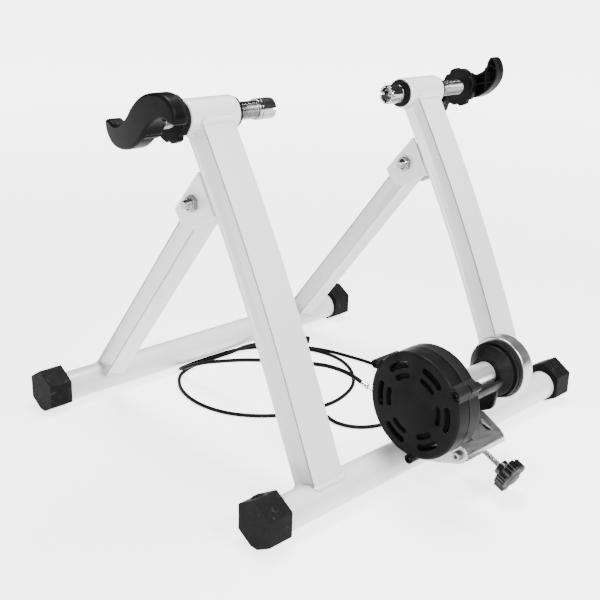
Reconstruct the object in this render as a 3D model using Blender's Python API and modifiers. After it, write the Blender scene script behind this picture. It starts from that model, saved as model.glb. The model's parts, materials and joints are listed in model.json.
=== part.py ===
"""Magnetic bike trainer: a folding two-tube stand with screw axle clamps and a tilting resistance unit.

Stand axes: X along the base tubes, Y from the rear tube to the front one, Z up from the floor.
Places are measured from the middle of the rear tube, on the floor, and an empty carries them all,
so that the model's origin lies under the middle of the object.
"""

import math

import bmesh
import bpy
import numpy as np
from mathutils import Matrix, Vector

# Clearances
GAP = 0.0003            # between pieces that touch or run on each other
SIDE_PLAY = 0.0005      # at the end faces of turning pieces

# Where the stand's own origin lies in the model
STAND_PLACE = Vector((-0.0114, -0.15402, 0.0))

# Base tubes and their feet
BASE_WIDTH = 0.545
TUBE_DIAMETER = 0.0381
TUBE_WALL = 0.0018
TUBE_HEIGHT = TUBE_DIAMETER / 2 + 0.00295  # axis above the floor
TUBE_SPACING = 0.411    # rear axis to front axis
FOOT_LENGTH = 0.0304
FOOT_END_WALL = 0.003
FOOT_PEAK = TUBE_DIAMETER / 2 + 0.01375  # top vertex above the tube's axis
FOOT_HALF_WIDTH = TUBE_DIAMETER / 2 + 0.00485
FOOT_SHOULDER = 0.018   # upper corners above the axis
FOOT_HIP = 0.011        # lower corners below the axis
FOOT_FLAT = 0.010       # width of the face that stands on the floor
FOOT_EDGE = 0.0024      # radius of its long edges

# Uprights, the axle and its sleeves
UPRIGHT_SPREAD = 0.176  # middle of the stand to an upright's middle
UPRIGHT_WIDE = 0.050
UPRIGHT_DEEP = 0.030
UPRIGHT_WALL = 0.0018
UPRIGHT_CORNER = 0.005
UPRIGHT_BEND_Y = 0.0948
UPRIGHT_BEND_Z = 0.2347
UPRIGHT_STRAIGHT = 0.42  # share of each run that stays straight
AXLE_Y = 0.1915
AXLE_Z = 0.3974
SLEEVE_DIAMETER = TUBE_DIAMETER
SLEEVE_WALL = 0.0025
SLEEVE_ROUND = 0.0018    # of the sleeve's ends
SLEEVE_INNER_END = 0.1424
SLEEVE_LENGTH = 0.0666

# Axle clamps
SCREW_DIAMETER = 0.020
SCREW_REACH = 0.2860    # middle of the stand to the screw's outer end, backed out
BUSH_FLANGE = 0.004
BUSH_DEPTH = 0.013
CUP_DIAMETER = SCREW_DIAMETER + 0.004
CUP_BODY = 0.0245
CUP_COLLAR = 0.0040     # behind the groove at the cup's back
CUP_GROOVE = 0.0012
CUP_SOCKET_DIAMETER = 0.0165
CUP_SOCKET_DEPTH = 0.013
RING_DIAMETER = 0.0515
RING_THICKNESS = 0.0090
RING_SCALLOPS = 8
RING_PLACES = {"left": 0.2168, "right": 0.2620}  # near faces, from the middle of the stand
HANDLE_HUB_INNER = 0.2716
HANDLE_RIM = 0.2763      # the arms' open side
HANDLE_CROWN = 0.0190    # its outer skin above the rim, at the hub and at HANDLE_REACH
HANDLE_TIP = 0.0162
HANDLE_REACH = 0.060
HANDLE_WALL = 0.0025
HANDLE_RIB = 0.0014
HANDLE_RIB_SINK = 0.0030  # the ribs' edges lie below the rim
HANDLE_TURNS = {"left": 0.0, "right": math.radians(-50.6)}
# One arm's outline and its ribs, from the hub's middle; the other arm is the same, turned half round
HANDLE_ARM = (
    (0.0025, -0.0200), (-0.0095, -0.0276), (-0.0225, -0.0316), (-0.0355, -0.0324), (-0.0475, -0.0295),
    (-0.0565, -0.0215), (-0.0607, -0.0120), (-0.0597, -0.0052), (-0.0530, -0.0045), (-0.0430, -0.0085),
    (-0.0320, -0.0065), (-0.0208, 0.0008), (-0.0118, 0.0105),
)
HANDLE_RIBS = (
    ((-0.0440, -0.0030), (-0.0170, -0.0300)), ((-0.0100, -0.0065), (-0.0410, -0.0320)),
    ((-0.0475, -0.0020), (-0.0535, -0.0280)),
)
HANDLE_HUB_DIAMETER = 0.036
LEFT_ADVANCE = 0.0295   # how far the left screw is turned in at rest

# Folding legs
LEG_SIZE = 0.030
LEG_WALL = 0.0018
LEG_CORNER = 0.004
PIVOT_Y = 0.1835
PIVOT_Z = 0.306
PIVOT_BOLT_DIAMETER = 0.010
PIVOT_BUSH_DIAMETER = 0.017
BRACKET_SPREAD = 0.0430  # between the inner faces of a leg's two brackets
BRACKET_PLATE = 0.0035
BRACKET_TOE = (0.0158, -0.0364)   # corners of its outline from the pivot
BRACKET_BROW = (0.0335, -0.0126)
BRACKET_ROOT = 0.0098    # its run on the upright, below and above the pivot
BRACKET_TOP = 0.0346

# Resistance unit, measured from its own axis
UNIT_Y = -0.040
UNIT_Z = 0.110
ROLLER_DIAMETER = 0.028
ROLLER_INNER = -0.0380
ROLLER_OUTER = 0.0480
SHAFT_DIAMETER = 0.010
SHAFT_START = -0.0685
SHAFT_END = 0.0955
HOUSING_DIAMETER = 0.120
HOUSING_WALL = 0.0025
HOUSING_FACE = -0.084
HOUSING_SEAM = -0.0645
HOUSING_BACK = -0.045
SLOT_RINGS = ((0.046, 0.0074), (0.034, 0.0064))
SLOT_SPAN = math.radians(37)
SLOTS_PER_RING = 6
BOSS_CIRCLE = HOUSING_DIAMETER / 2 + 0.003
BOSS_DIAMETER = 0.0104
BOSS_RECESS = 0.0054
BOSS_ANGLES = tuple(math.radians(a) for a in (30, 150, 270))
ROTOR_DIAMETER = 0.100
ROTOR_THICKNESS = 0.004
SPIGOT_DIAMETER = 0.016  # carries the magnet plate inside the cover
SPIGOT_END = -0.0695
MAGNETS = 6
CHEEK = 0.006
BELL_SMALL = 0.0390
BELL_LARGE = 0.0612
BELL_START = 0.0480
BELL_END = 0.0612
COLLAR_DIAMETER = 0.067
COLLAR_END = 0.0700
FLYWHEEL_DIAMETER = 0.074
FLYWHEEL_START = 0.0703
FLYWHEEL_END = 0.0885

# Unit bracket, its pivot and the adjuster
EAR_LEFT = -0.0345      # middle of the left ear's thickness
EAR_RIGHT = 0.0325
SHEET = 0.003
TILT_Y = -0.022
TILT_Z = 0.048
TILT_BOLT_DIAMETER = 0.008
TILT_NUT = 0.013         # across flats
NUT_POCKET = 0.0048      # the pivot nut turns free in a round recess of the left cheek
NUT_POCKET_DIAMETER = 2 * TILT_NUT / math.sqrt(3) + 0.001
BARREL_Y = -0.070
BARREL_Z = 0.046
BARREL_DIAMETER = 0.013
ADJUSTER_ANGLE = math.radians(23.65)
ADJUSTER_DIAMETER = 0.0065
ADJUSTER_REACH = 0.0305  # barrel to the screw's tip
ADJUSTER_NECK = 0.034    # barrel to the knob's collar
KNOB_DIAMETER = 0.038
KNOB_FACE = 0.0417       # barrel to the knob's near face
KNOB_THICKNESS = 0.0126
KNOB_LOBES = 5

# Cable and remote
CABLE_DIAMETER = 0.005
CABLE_POINTS = 76
WIRE_DIAMETER = 0.0016
FERRULE_DIAMETER = 0.0064
REMOTE_X = 0.080
REMOTE_Y = 0.308
REMOTE_TURN = math.radians(30)
REMOTE_LENGTH = 0.052
REMOTE_WIDTH = 0.026
REMOTE_HEIGHT = 0.016
CLAMP_BORE = 0.0222     # fits a handlebar

# The cable's route: from the unit over an arch to the front tube, once round, and back to the remote.
CABLE_ROUTE = (
    (-0.0720, 0.0440, 0.1047), (-0.0720, 0.0570, 0.1078), (-0.0715, 0.0760, 0.1088),
    (-0.0710, 0.1000, 0.1065), (-0.0705, 0.1230, 0.1015), (-0.0700, 0.1600, 0.0930),
    (-0.0700, 0.1900, 0.0845), (-0.0705, 0.2180, 0.0755), (-0.0710, 0.2540, 0.0640),
    (-0.0715, 0.2900, 0.0510), (-0.0725, 0.3280, 0.0365), (-0.0735, 0.3580, 0.0225),
    (-0.0725, 0.3800, 0.0105), (-0.0660, 0.3930, 0.0045), (-0.0500, 0.3985, 0.0027),
    (-0.0300, 0.4000, 0.0027), (0.0050, 0.4000, 0.0027), (0.0380, 0.3975, 0.0027),
    (0.0680, 0.3860, 0.0027), (0.0970, 0.3640, 0.0027), (0.1200, 0.3350, 0.0027),
    (0.1310, 0.3050, 0.0027), (0.1320, 0.2750, 0.0027), (0.1220, 0.2450, 0.0027),
    (0.1030, 0.2170, 0.0027), (0.0760, 0.1935, 0.0027), (0.0400, 0.1790, 0.0027),
    (0.0070, 0.1765, 0.0027), (-0.0300, 0.1830, 0.0027), (-0.0640, 0.1990, 0.0027),
    (-0.0900, 0.2230, 0.0027), (-0.1070, 0.2520, 0.0027), (-0.1140, 0.2860, 0.0027),
    (-0.1110, 0.3200, 0.0027), (-0.0990, 0.3510, 0.0027), (-0.0770, 0.3780, 0.0027),
    (-0.0460, 0.3915, 0.0027), (-0.0100, 0.3940, 0.0027), (0.0250, 0.3925, 0.0040),
    (0.0520, 0.3880, 0.0082), (0.0760, 0.3790, 0.0088), (0.1000, 0.3630, 0.0065),
    (0.1220, 0.3410, 0.0030), (0.1400, 0.3080, 0.0027), (0.1500, 0.2680, 0.0027),
    (0.1560, 0.2300, 0.0027), (0.1570, 0.1900, 0.0027), (0.1480, 0.1520, 0.0027),
    (0.1260, 0.1200, 0.0027), (0.0930, 0.0980, 0.0027), (0.0560, 0.0880, 0.0027),
    (0.0210, 0.0900, 0.0027), (-0.0060, 0.1050, 0.0027), (-0.0190, 0.1300, 0.0035),
    (-0.0190, 0.1560, 0.0075), (-0.0130, 0.1830, 0.0092), (-0.0030, 0.2120, 0.0065),
    (0.0080, 0.2420, 0.0030), (0.0190, 0.2650, 0.0045), (0.0330, 0.2800, 0.0070),
    (0.0450, 0.2878, 0.0080), (0.0569, 0.29465, 0.0080),
)

X_AXIS = Vector((1, 0, 0))
Z_AXIS = Vector((0, 0, 1))
TUBE_RADIUS = TUBE_DIAMETER / 2
HALF_WIDTH = BASE_WIDTH / 2
REAR = (0.0, TUBE_HEIGHT)
FRONT = (TUBE_SPACING, TUBE_HEIGHT)
AXLE = (AXLE_Y, AXLE_Z)
PIVOT = (PIVOT_Y, PIVOT_Z)
UNIT = (UNIT_Y, UNIT_Z)
TILT = (TILT_Y, TILT_Z)
BARREL = (BARREL_Y, BARREL_Z)
SIDES = (("left", -1), ("right", 1))

MATERIALS = {
    "frame_paint": ((0.78, 0.79, 0.76), 0.32, 0.0),
    "black_plastic": ((0.020, 0.020, 0.022), 0.45, 0.0),
    "foot_rubber": ((0.016, 0.016, 0.017), 0.6, 0.0),
    "cast_black": ((0.028, 0.028, 0.030), 0.5, 0.3),
    "chrome": ((0.80, 0.81, 0.82), 0.10, 1.0),
    "zinc": ((0.62, 0.63, 0.65), 0.30, 1.0),
    "roller_steel": ((0.68, 0.69, 0.70), 0.28, 1.0),
    "rotor_aluminium": ((0.75, 0.76, 0.77), 0.35, 1.0),
    "cable_black": ((0.015, 0.015, 0.016), 0.4, 0.0),
}

for old in list(bpy.data.objects):
    bpy.data.objects.remove(old, do_unlink=True)

parts = bpy.data.collections.new("magnetic_bike_trainer")
cutters = bpy.data.collections.new("cutters")
for collection in (parts, cutters):
    bpy.context.scene.collection.children.link(collection)
cutters.hide_render = True

empties = {}


def material(name):
    """The Principled material of that name, made on first use."""
    if name in bpy.data.materials:
        return bpy.data.materials[name]
    colour, roughness, metallic = MATERIALS[name]
    made = bpy.data.materials.new(name)
    made.use_nodes = True
    shader = made.node_tree.nodes["Principled BSDF"]
    shader.inputs["Base Color"].default_value = (*colour, 1)
    shader.inputs["Roughness"].default_value = roughness
    shader.inputs["Metallic"].default_value = metallic
    return made


def axis_empty(name, place, parent=None):
    """An empty on a joint's axis. place is in stand axes."""
    empty = bpy.data.objects.new(name, None)
    parts.objects.link(empty)
    empty.empty_display_size = 0.02
    if parent:
        empty.parent = empties[parent][0]
        empty.location = Vector(place) - empties[parent][1]
    else:
        empty.location = STAND_PLACE
    empties[name] = (empty, Vector(place))


def smooth_mesh(mesh):
    """Weld, face outwards and shade smooth apart from real edges."""
    work = bmesh.new()
    work.from_mesh(mesh)
    bmesh.ops.remove_doubles(work, verts=work.verts, dist=1e-6)
    bmesh.ops.recalc_face_normals(work, faces=work.faces)
    work.to_mesh(mesh)
    work.free()
    mesh.shade_smooth()
    mesh.set_sharp_from_angle(angle=math.radians(35))
    return mesh


def baked(source):
    """The mesh of an object with its curve or modifiers worked out, and the object removed."""
    bpy.context.scene.collection.objects.link(source)
    bpy.context.view_layer.update()
    evaluated = source.evaluated_get(bpy.context.evaluated_depsgraph_get())
    mesh = bpy.data.meshes.new_from_object(evaluated)
    bpy.data.objects.remove(source, do_unlink=True)
    return smooth_mesh(mesh)


def along_x(outline_place=(0.0, 0.0), x=0.0):
    """A matrix that lays a flat YZ outline's plane across X at x, its own Z along X."""
    turn = Matrix(((0, 0, 1, 0), (1, 0, 0, 0), (0, 1, 0, 0), (0, 0, 0, 1)))
    return Matrix.Translation((x, *outline_place)) @ turn


def pointing(direction, place):
    """A matrix that turns Z to a direction and moves the origin to a place."""
    turn = Z_AXIS.rotation_difference(Vector(direction)).to_matrix().to_4x4()
    return Matrix.Translation(place) @ turn


def rounded(corners, steps=2):
    """An outline from corners (u, v, radius), each rounded by an arc of that radius."""
    outline = []
    for i, (u, v, radius) in enumerate(corners):
        corner = Vector((u, v))
        if not radius:
            outline.append(corner)
            continue
        before = (Vector(corners[i - 1][:2]) - corner).normalized()
        after = (Vector(corners[(i + 1) % len(corners)][:2]) - corner).normalized()
        half = before.angle(after) / 2
        reach = radius / math.tan(half)
        centre = corner + (before + after).normalized() * radius / math.sin(half)
        start = corner + before * reach - centre
        end = corner + after * reach - centre
        turn = start.angle_signed(end)
        for k in range(steps + 1):
            spoke = start.copy()
            spoke.rotate(Matrix.Rotation(-turn * k / steps, 2))
            outline.append(centre + spoke)
    return outline


def arc(centre, radius, start, end, steps):
    """Points on an arc, angles in radians."""
    return [
        Vector((centre[0] + radius * math.cos(a), centre[1] + radius * math.sin(a)))
        for a in np.linspace(start, end, steps + 1)
    ]


def plate(outlines, thickness, matrix, bevel=0.0):
    """A flat piece from 2D outlines, the first its edge and the others its holes."""
    curve = bpy.data.curves.new("outline", "CURVE")
    curve.dimensions = "2D"
    curve.fill_mode = "BOTH"
    curve.extrude = thickness / 2 - bevel
    curve.bevel_depth = bevel
    curve.bevel_resolution = 0
    curve.offset = -bevel
    for outline in outlines:
        spline = curve.splines.new("POLY")
        spline.points.add(len(outline) - 1)
        for point, place in zip(spline.points, outline):
            point.co = (place[0], place[1], 0, 1)
        spline.use_cyclic_u = True
    mesh = baked(bpy.data.objects.new("outline", curve))
    mesh.transform(matrix)
    return mesh


def circle(radius, steps=20, centre=(0.0, 0.0)):
    return arc(centre, radius, 0, 2 * math.pi, steps)[:-1]


def turned(profile, matrix, steps=20, closed=True):
    """A profile of (radius, height) turned about Z. A closed profile is a ring."""
    mesh = bpy.data.meshes.new("profile")
    points = [(radius, 0, height) for radius, height in profile]
    count = len(points)
    edges = [(i, (i + 1) % count) for i in range(count if closed else count - 1)]
    mesh.from_pydata(points, edges, [])
    source = bpy.data.objects.new("profile", mesh)
    screw = source.modifiers.new("turn", "SCREW")
    screw.steps = screw.render_steps = steps
    screw.use_merge_vertices = True
    screw.merge_threshold = 1e-5
    mesh = baked(source)
    mesh.transform(matrix)
    return mesh


def pipe(outer, inner, start, end, place, steps=20):
    """A round tube along X from start to end."""
    profile = ((outer, end), (outer, start), (inner, start), (inner, end))
    return turned(profile, pointing(X_AXIS, (0, *place)), steps)


def rod(radius, start, end, place, direction=X_AXIS, steps=12, chamfer=0.0):
    """A solid round bar between two distances along a direction through a place."""
    profile = [(0, end), (radius - chamfer, end), (radius, end - chamfer)]
    profile += [(radius, start + chamfer), (radius - chamfer, start), (0, start)]
    if not chamfer:
        profile = [(0, end), (radius, end), (radius, start), (0, start)]
    return turned(profile, pointing(direction, place), steps, closed=False)


def hexagon(across_flats, start, end, place, direction=X_AXIS):
    """A nut or bolt head between two distances along a direction."""
    outline = circle(across_flats / math.sqrt(3), 6)
    matrix = pointing(direction, place) @ Matrix.Translation((0, 0, (start + end) / 2))
    return plate([outline], end - start, matrix)


def swept(path, width, depth, corner, matrix):
    """A rectangular section with rounded corners carried along a path in the YZ plane."""
    half_u, half_v = width / 2, depth / 2
    corners = ((half_u, half_v), (-half_u, half_v), (-half_u, -half_v), (half_u, -half_v))
    section = bpy.data.curves.new("section", "CURVE")
    section.dimensions = "2D"
    spline = section.splines.new("POLY")
    outline = rounded([(u, v, corner) for u, v in corners], 2)
    spline.points.add(len(outline) - 1)
    for point, place in zip(spline.points, outline):
        point.co = (place[0], place[1], 0, 1)
    spline.use_cyclic_u = True
    section_object = bpy.data.objects.new("section", section)
    curve = bpy.data.curves.new("path", "CURVE")
    curve.dimensions = "3D"
    curve.twist_mode = "Z_UP"
    curve.bevel_mode = "OBJECT"
    curve.bevel_object = section_object
    curve.use_fill_caps = True
    spline = curve.splines.new("POLY")
    spline.points.add(len(path) - 1)
    for point, (y, z) in zip(spline.points, path):
        point.co = (0, y, z, 1)
    mesh = baked(bpy.data.objects.new("path", curve))
    bpy.data.objects.remove(section_object, do_unlink=True)
    mesh.transform(matrix)
    return mesh


def add(name, mesh, parent, finish):
    """A named piece. Its mesh comes in stand axes and hangs on its joint's empty."""
    holder, place = empties[parent]
    mesh.name = name
    mesh.transform(Matrix.Translation(-place))
    mesh.materials.clear()
    mesh.materials.append(material(finish))
    piece = bpy.data.objects.new(name, mesh)
    piece.parent = holder
    parts.objects.link(piece)
    return piece


def shape(piece, mesh, operation="DIFFERENCE"):
    """Cut a mesh in stand axes out of a piece, or join it on."""
    place = piece.location.copy()
    holder = piece.parent
    mesh.transform(Matrix.Translation(-next(p for e, p in empties.values() if e is holder) - place))
    tool = bpy.data.objects.new(piece.name + "_cutter", mesh)
    tool.parent = holder
    tool.hide_render = True
    tool.display_type = "WIRE"
    cutters.objects.link(tool)
    boolean = piece.modifiers.new(operation.lower(), "BOOLEAN")
    boolean.operation = operation
    boolean.solver = "EXACT"
    boolean.object = tool


def join(piece, mesh):
    shape(piece, mesh, "UNION")


def soft_bend(start, corner, end, straight, steps=4):
    """A path of two straight runs whose corner is a quadratic curve."""
    start, corner, end = Vector(start), Vector(corner), Vector(end)
    first = start.lerp(corner, straight)
    last = end.lerp(corner, straight)
    path = [start]
    for t in np.linspace(0, 1, steps + 1):
        path.append(first.lerp(corner, t).lerp(corner.lerp(last, t), t))
    return path + [end]


def make_axes():
    """The empties: the stand itself and each joint's axis."""
    axis_empty("stand", (0, 0, 0))
    axis_empty("front_fold_axis", (0, *PIVOT), "stand")
    for name, side in SIDES:
        axis_empty(f"rear_foot_axis_{name}", (side * HALF_WIDTH, *REAR), "stand")
        axis_empty(f"front_foot_axis_{name}", (side * HALF_WIDTH, *FRONT), "front_fold_axis")
        axis_empty(f"axle_cup_axis_{name}", (side * SLEEVE_INNER_END, *AXLE), "stand")
        axis_empty(f"axle_screw_axis_{name}", (side * SLEEVE_INNER_END, *AXLE), f"axle_cup_axis_{name}")
    axis_empty("unit_tilt_axis", (0, *TILT), "stand")
    axis_empty("roller_axis", (0, *UNIT), "unit_tilt_axis")
    axis_empty("magnet_axis", (HOUSING_SEAM, *UNIT), "unit_tilt_axis")
    axis_empty("adjuster_axis", (0, *BARREL), "stand")
    axis_empty("remote_lever_axis", (*lever_pivot(), REMOTE_HEIGHT), "stand")


def make_base_tube(name, place, parent):
    """A base tube, which ends inside its two feet."""
    end = HALF_WIDTH - FOOT_END_WALL - GAP
    mesh = pipe(TUBE_RADIUS, TUBE_RADIUS - TUBE_WALL, -end, end, place, 24)
    return add(name, mesh, parent, "frame_paint")


def make_foot(name, side, place, parent):
    """A six-sided cap that levels the stand: each side lies at its own distance from the tube."""
    wide, flat = FOOT_HALF_WIDTH, FOOT_FLAT / 2
    corners = (
        (0, FOOT_PEAK, FOOT_EDGE), (-wide, FOOT_SHOULDER, FOOT_EDGE), (-wide, -FOOT_HIP, FOOT_EDGE),
        (-flat, -TUBE_HEIGHT, 0), (flat, -TUBE_HEIGHT, 0), (wide, -FOOT_HIP, FOOT_EDGE), (wide, FOOT_SHOULDER, FOOT_EDGE),
    )
    outer = side * HALF_WIDTH
    middle = outer - side * FOOT_LENGTH / 2
    mesh = plate([rounded(corners)], FOOT_LENGTH, along_x(place, middle))
    foot = add(name, mesh, parent, "foot_rubber")
    inner, seat = sorted((outer - side * (FOOT_LENGTH + 0.01), outer - side * FOOT_END_WALL))
    shape(foot, rod(TUBE_RADIUS + GAP, inner, seat, (0, *place), steps=24))
    if name == "rear_foot_left":
        slope = Vector((FOOT_PEAK - FOOT_SHOULDER, wide)).normalized()
        spot = Vector((place[0] + wide * 0.5, place[1] + (FOOT_PEAK + FOOT_SHOULDER) / 2)) - slope * 0.0115
        join(foot, turned([(0, 0.0139), (0.004, 0.0136), (0.008, 0.0117), (0.008, 0.009), (0, 0.009)],
                          pointing((0, *slope), (middle, *spot)), 14, closed=False))


def upright_path():
    return soft_bend(REAR, (UPRIGHT_BEND_Y, UPRIGHT_BEND_Z), AXLE, UPRIGHT_STRAIGHT)


def longer(path, extra):
    """A path with both ends drawn out."""
    first = path[0] + (path[0] - path[1]).normalized() * extra
    last = path[-1] + (path[-1] - path[-2]).normalized() * extra
    return [first, *path[1:-1], last]


def make_upright(name, side):
    """A bent rectangular tube, coped onto the rear tube and the axle sleeve."""
    x = side * UPRIGHT_SPREAD
    place = Matrix.Translation((x, 0, 0))
    path = upright_path()
    upright = add(name, swept(path, UPRIGHT_WIDE, UPRIGHT_DEEP, UPRIGHT_CORNER, place), "stand", "frame_paint")
    inner = swept(
        longer(path, 0.01), UPRIGHT_WIDE - 2 * UPRIGHT_WALL, UPRIGHT_DEEP - 2 * UPRIGHT_WALL,
        UPRIGHT_CORNER - UPRIGHT_WALL, place,
    )
    shape(upright, inner)
    reach = UPRIGHT_WIDE
    shape(upright, rod(TUBE_RADIUS + GAP, x - reach, x + reach, (0, *REAR), steps=24))
    shape(upright, rod(SLEEVE_DIAMETER / 2 + GAP, x - reach, x + reach, (0, *AXLE), steps=24))


def make_sleeve(name, side):
    """The short tube that the axle screw runs through, with a flanged bush in each end."""
    start, end = sorted((side * SLEEVE_INNER_END, side * (SLEEVE_INNER_END + SLEEVE_LENGTH)))
    outer, bore, edge = SLEEVE_DIAMETER / 2, SLEEVE_DIAMETER / 2 - SLEEVE_WALL, SLEEVE_ROUND
    profile = (
        (outer, end - edge), (outer, start + edge), (outer - edge * 0.3, start + edge * 0.3), (outer - edge, start),
        (bore, start), (bore, end), (outer - edge, end), (outer - edge * 0.3, end - edge * 0.3),
    )
    turn = pointing(X_AXIS, (0, *AXLE))
    add(f"axle_sleeve_{name}", turned(profile, turn, 24), "stand", "frame_paint")
    screw = SCREW_DIAMETER / 2 + GAP
    flange = outer - edge
    for label, face, out in (
        ("inner", side * SLEEVE_INNER_END, -side),
        ("outer", side * (SLEEVE_INNER_END + SLEEVE_LENGTH), side),
    ):
        profile = (
            (screw, BUSH_FLANGE), (flange, BUSH_FLANGE), (flange, GAP), (bore - GAP, GAP), (bore - GAP, -BUSH_DEPTH),
            (screw, -BUSH_DEPTH),
        )
        mesh = turned(profile, pointing(X_AXIS * out, (face, *AXLE)), 18)
        add(f"sleeve_bush_{label}_{name}", mesh, "stand", "black_plastic")


def make_clamp(name, side):
    """One axle clamp: a cup that takes the axle's end, its screw, a lock ring and a handle."""
    advance = LEFT_ADVANCE if side < 0 else 0.0
    place = (0, *AXLE)
    out = X_AXIS * side
    cup_back = SLEEVE_INNER_END - BUSH_FLANGE - GAP - advance
    cup_end = cup_back - CUP_BODY
    floor = cup_end + CUP_SOCKET_DEPTH
    screw_start = floor + 0.003
    groove = cup_back - CUP_COLLAR
    socket, body, screw = CUP_SOCKET_DIAMETER / 2, CUP_DIAMETER / 2, SCREW_DIAMETER / 2
    edge = 0.0008
    profile = (
        (0, floor), (socket, floor), (socket + 0.001, cup_end), (body - 0.001, cup_end), (body, cup_end + 0.001),
        (body, groove - CUP_GROOVE), (body - edge, groove - CUP_GROOVE / 2), (body, groove),
        (body, cup_back - edge), (body - edge, cup_back), (screw + GAP, cup_back), (screw + GAP, screw_start - GAP),
        (0, screw_start - GAP),
    )
    cup_mesh = turned(profile[::-1], pointing(out, place), 18, closed=False)
    cup = add(f"axle_cup_{name}", cup_mesh, f"axle_cup_axis_{name}", "chrome")
    for angle in (0, 90):
        slot = plate(
            [((-0.02, -0.0016), (0.02, -0.0016), (0.02, 0.0016), (-0.02, 0.0016))], 0.012,
            pointing(out, place) @ Matrix.Translation((0, 0, cup_end)) @ Matrix.Rotation(math.radians(angle), 4, "Z"),
        )
        shape(cup, slot)
    axis = f"axle_screw_axis_{name}"
    end = SCREW_REACH - advance
    add(f"axle_screw_{name}", rod(screw, screw_start, end, place, out, 16, 0.0008), axis, "zinc")
    make_lock_ring(name, out, axis)
    make_handle(name, side, advance, axis)


def make_lock_ring(name, out, axis):
    """A scalloped ring that runs on the screw and jams against the sleeve's bush."""
    radius = RING_DIAMETER / 2
    dip = 0.0026
    steps = RING_SCALLOPS * 5
    outline = []
    for k in range(steps):
        angle = 2 * math.pi * k / steps
        wave = max(0.0, math.cos(RING_SCALLOPS * angle)) ** 2
        outline.append(Vector((math.cos(angle), math.sin(angle))) * (radius - dip * wave))
    near = RING_PLACES[name]
    place = pointing(out, (0, *AXLE)) @ Matrix.Translation((0, 0, near + RING_THICKNESS / 2))
    ring = add(f"lock_ring_{name}", plate([outline], RING_THICKNESS, place, 0.001), axis, "black_plastic")
    shape(ring, rod(SCREW_DIAMETER / 2 + GAP, near - 0.01, near + 0.02, (0, *AXLE), out, 20))


def closed_curve(points, steps):
    """A smooth closed outline through points (Catmull-Rom), with that many steps between two of them."""
    here = np.array(points, dtype=float)
    before, after, beyond = np.roll(here, 1, 0), np.roll(here, -1, 0), np.roll(here, -2, 0)
    t = np.linspace(0, 1, steps, endpoint=False)[None, :, None]
    here, before, after, beyond = (p[:, None, :] for p in (here, before, after, beyond))
    curve = 2 * here + (after - before) * t + (2 * before - 5 * here + 4 * after - beyond) * t**2
    curve += (3 * here - before - 3 * after + beyond) * t**3
    return [Vector(p) for p in curve.reshape(-1, 2) / 2]


def inset(outline, wall):
    """An outline moved inwards by a wall. It runs clockwise."""
    moved = []
    for i, here in enumerate(outline):
        along = (outline[(i + 1) % len(outline)] - outline[i - 1]).normalized()
        moved.append(here + Vector((along.y, -along.x)) * wall)
    return moved


def combined(mesh, *steps):
    """A mesh after Booleans with others, each given as (operation, mesh) and worked out in turn."""
    for operation, other in steps:
        base = bpy.data.objects.new("base", mesh)
        tool = bpy.data.objects.new("tool", other)
        bpy.context.scene.collection.objects.link(tool)
        boolean = base.modifiers.new(operation.lower(), "BOOLEAN")
        boolean.operation = operation
        boolean.solver = "EXACT"
        boolean.object = tool
        mesh = baked(base)
        bpy.data.objects.remove(tool, do_unlink=True)
    return mesh


def handle_dome(rise):
    """A flat-bottomed dome about Z: highest at the hub, falling towards the arms' tips."""
    steps = 4
    drop = HANDLE_CROWN - HANDLE_TIP
    profile = [(0.0, rise)]
    for k in range(1, steps + 1):
        reach = HANDLE_REACH * 1.25 * k / steps
        profile.append((reach, rise - drop * (reach / HANDLE_REACH) ** 2))
    profile += [(profile[-1][0], -0.020), (0.0, -0.020)]
    return turned(profile, Matrix(), 20, closed=False)


def handle_mesh():
    """The S-shaped two-armed handle, its rim on Z = 0: a crowned moulding, hollow behind, with thin ribs.

    Both sides of the stand use this one moulding. It looks the same after half a turn.
    """
    arm = HANDLE_ARM
    outline = closed_curve(arm + tuple((-u, -v) for u, v in arm), 2)
    high = 0.060
    above = Matrix.Translation((0, 0, high / 2))
    body = combined(plate([outline], high, above), ("INTERSECT", handle_dome(HANDLE_CROWN)))
    room = Matrix.Translation((0, 0, high / 2 - 0.010))
    ribs = []
    for start, end in HANDLE_RIBS:
        for turn in (1, -1):
            start_point, end_point = Vector(start) * turn, Vector(end) * turn
            across = (end_point - start_point).normalized().orthogonal() * HANDLE_RIB / 2
            corners = (start_point + across, start_point - across, end_point - across, end_point + across)
            ribs.append(plate([corners], high, Matrix.Translation((0, 0, high / 2 + HANDLE_RIB_SINK))))
    hub = plate([circle(HANDLE_HUB_DIAMETER / 2, 20)], 3 * high, Matrix())
    steps = [("INTERSECT", handle_dome(HANDLE_CROWN - HANDLE_WALL)), ("DIFFERENCE", hub)]
    hollow = combined(plate([inset(outline, HANDLE_WALL)], high, room), *steps, *(("DIFFERENCE", rib) for rib in ribs))
    return combined(body, ("DIFFERENCE", hollow))


def make_handle(name, side, advance, axis):
    """The handle on its screw: its arms' open side faces the stand, and its hub covers the screw's end."""
    out = X_AXIS * side
    hub = HANDLE_HUB_DIAMETER / 2
    rim = HANDLE_RIM - advance
    inner = HANDLE_HUB_INNER - advance
    upright = Matrix(((0, 0, side, 0), (side, 0, 0, 0), (0, 1, 0, 0), (0, 0, 0, 1)))
    place = Matrix.Translation((side * rim, *AXLE)) @ upright @ Matrix.Rotation(HANDLE_TURNS[name], 4, "Z")
    mesh = handle_mesh()
    mesh.transform(place)
    handle = add(f"clamp_handle_{name}", mesh, axis, "black_plastic")
    top = rim + HANDLE_CROWN - HANDLE_WALL / 2
    profile = [(0, top), (hub - GAP, top), (hub - GAP, inner + 0.0012), (hub - 0.0015, inner), (0, inner)]
    join(handle, turned(profile, pointing(out, (0, *AXLE)), 18, closed=False))
    shape(handle, rod(SCREW_DIAMETER / 2 + GAP, inner - 0.01, SCREW_REACH - advance + GAP, (0, *AXLE), out, 16))


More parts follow.
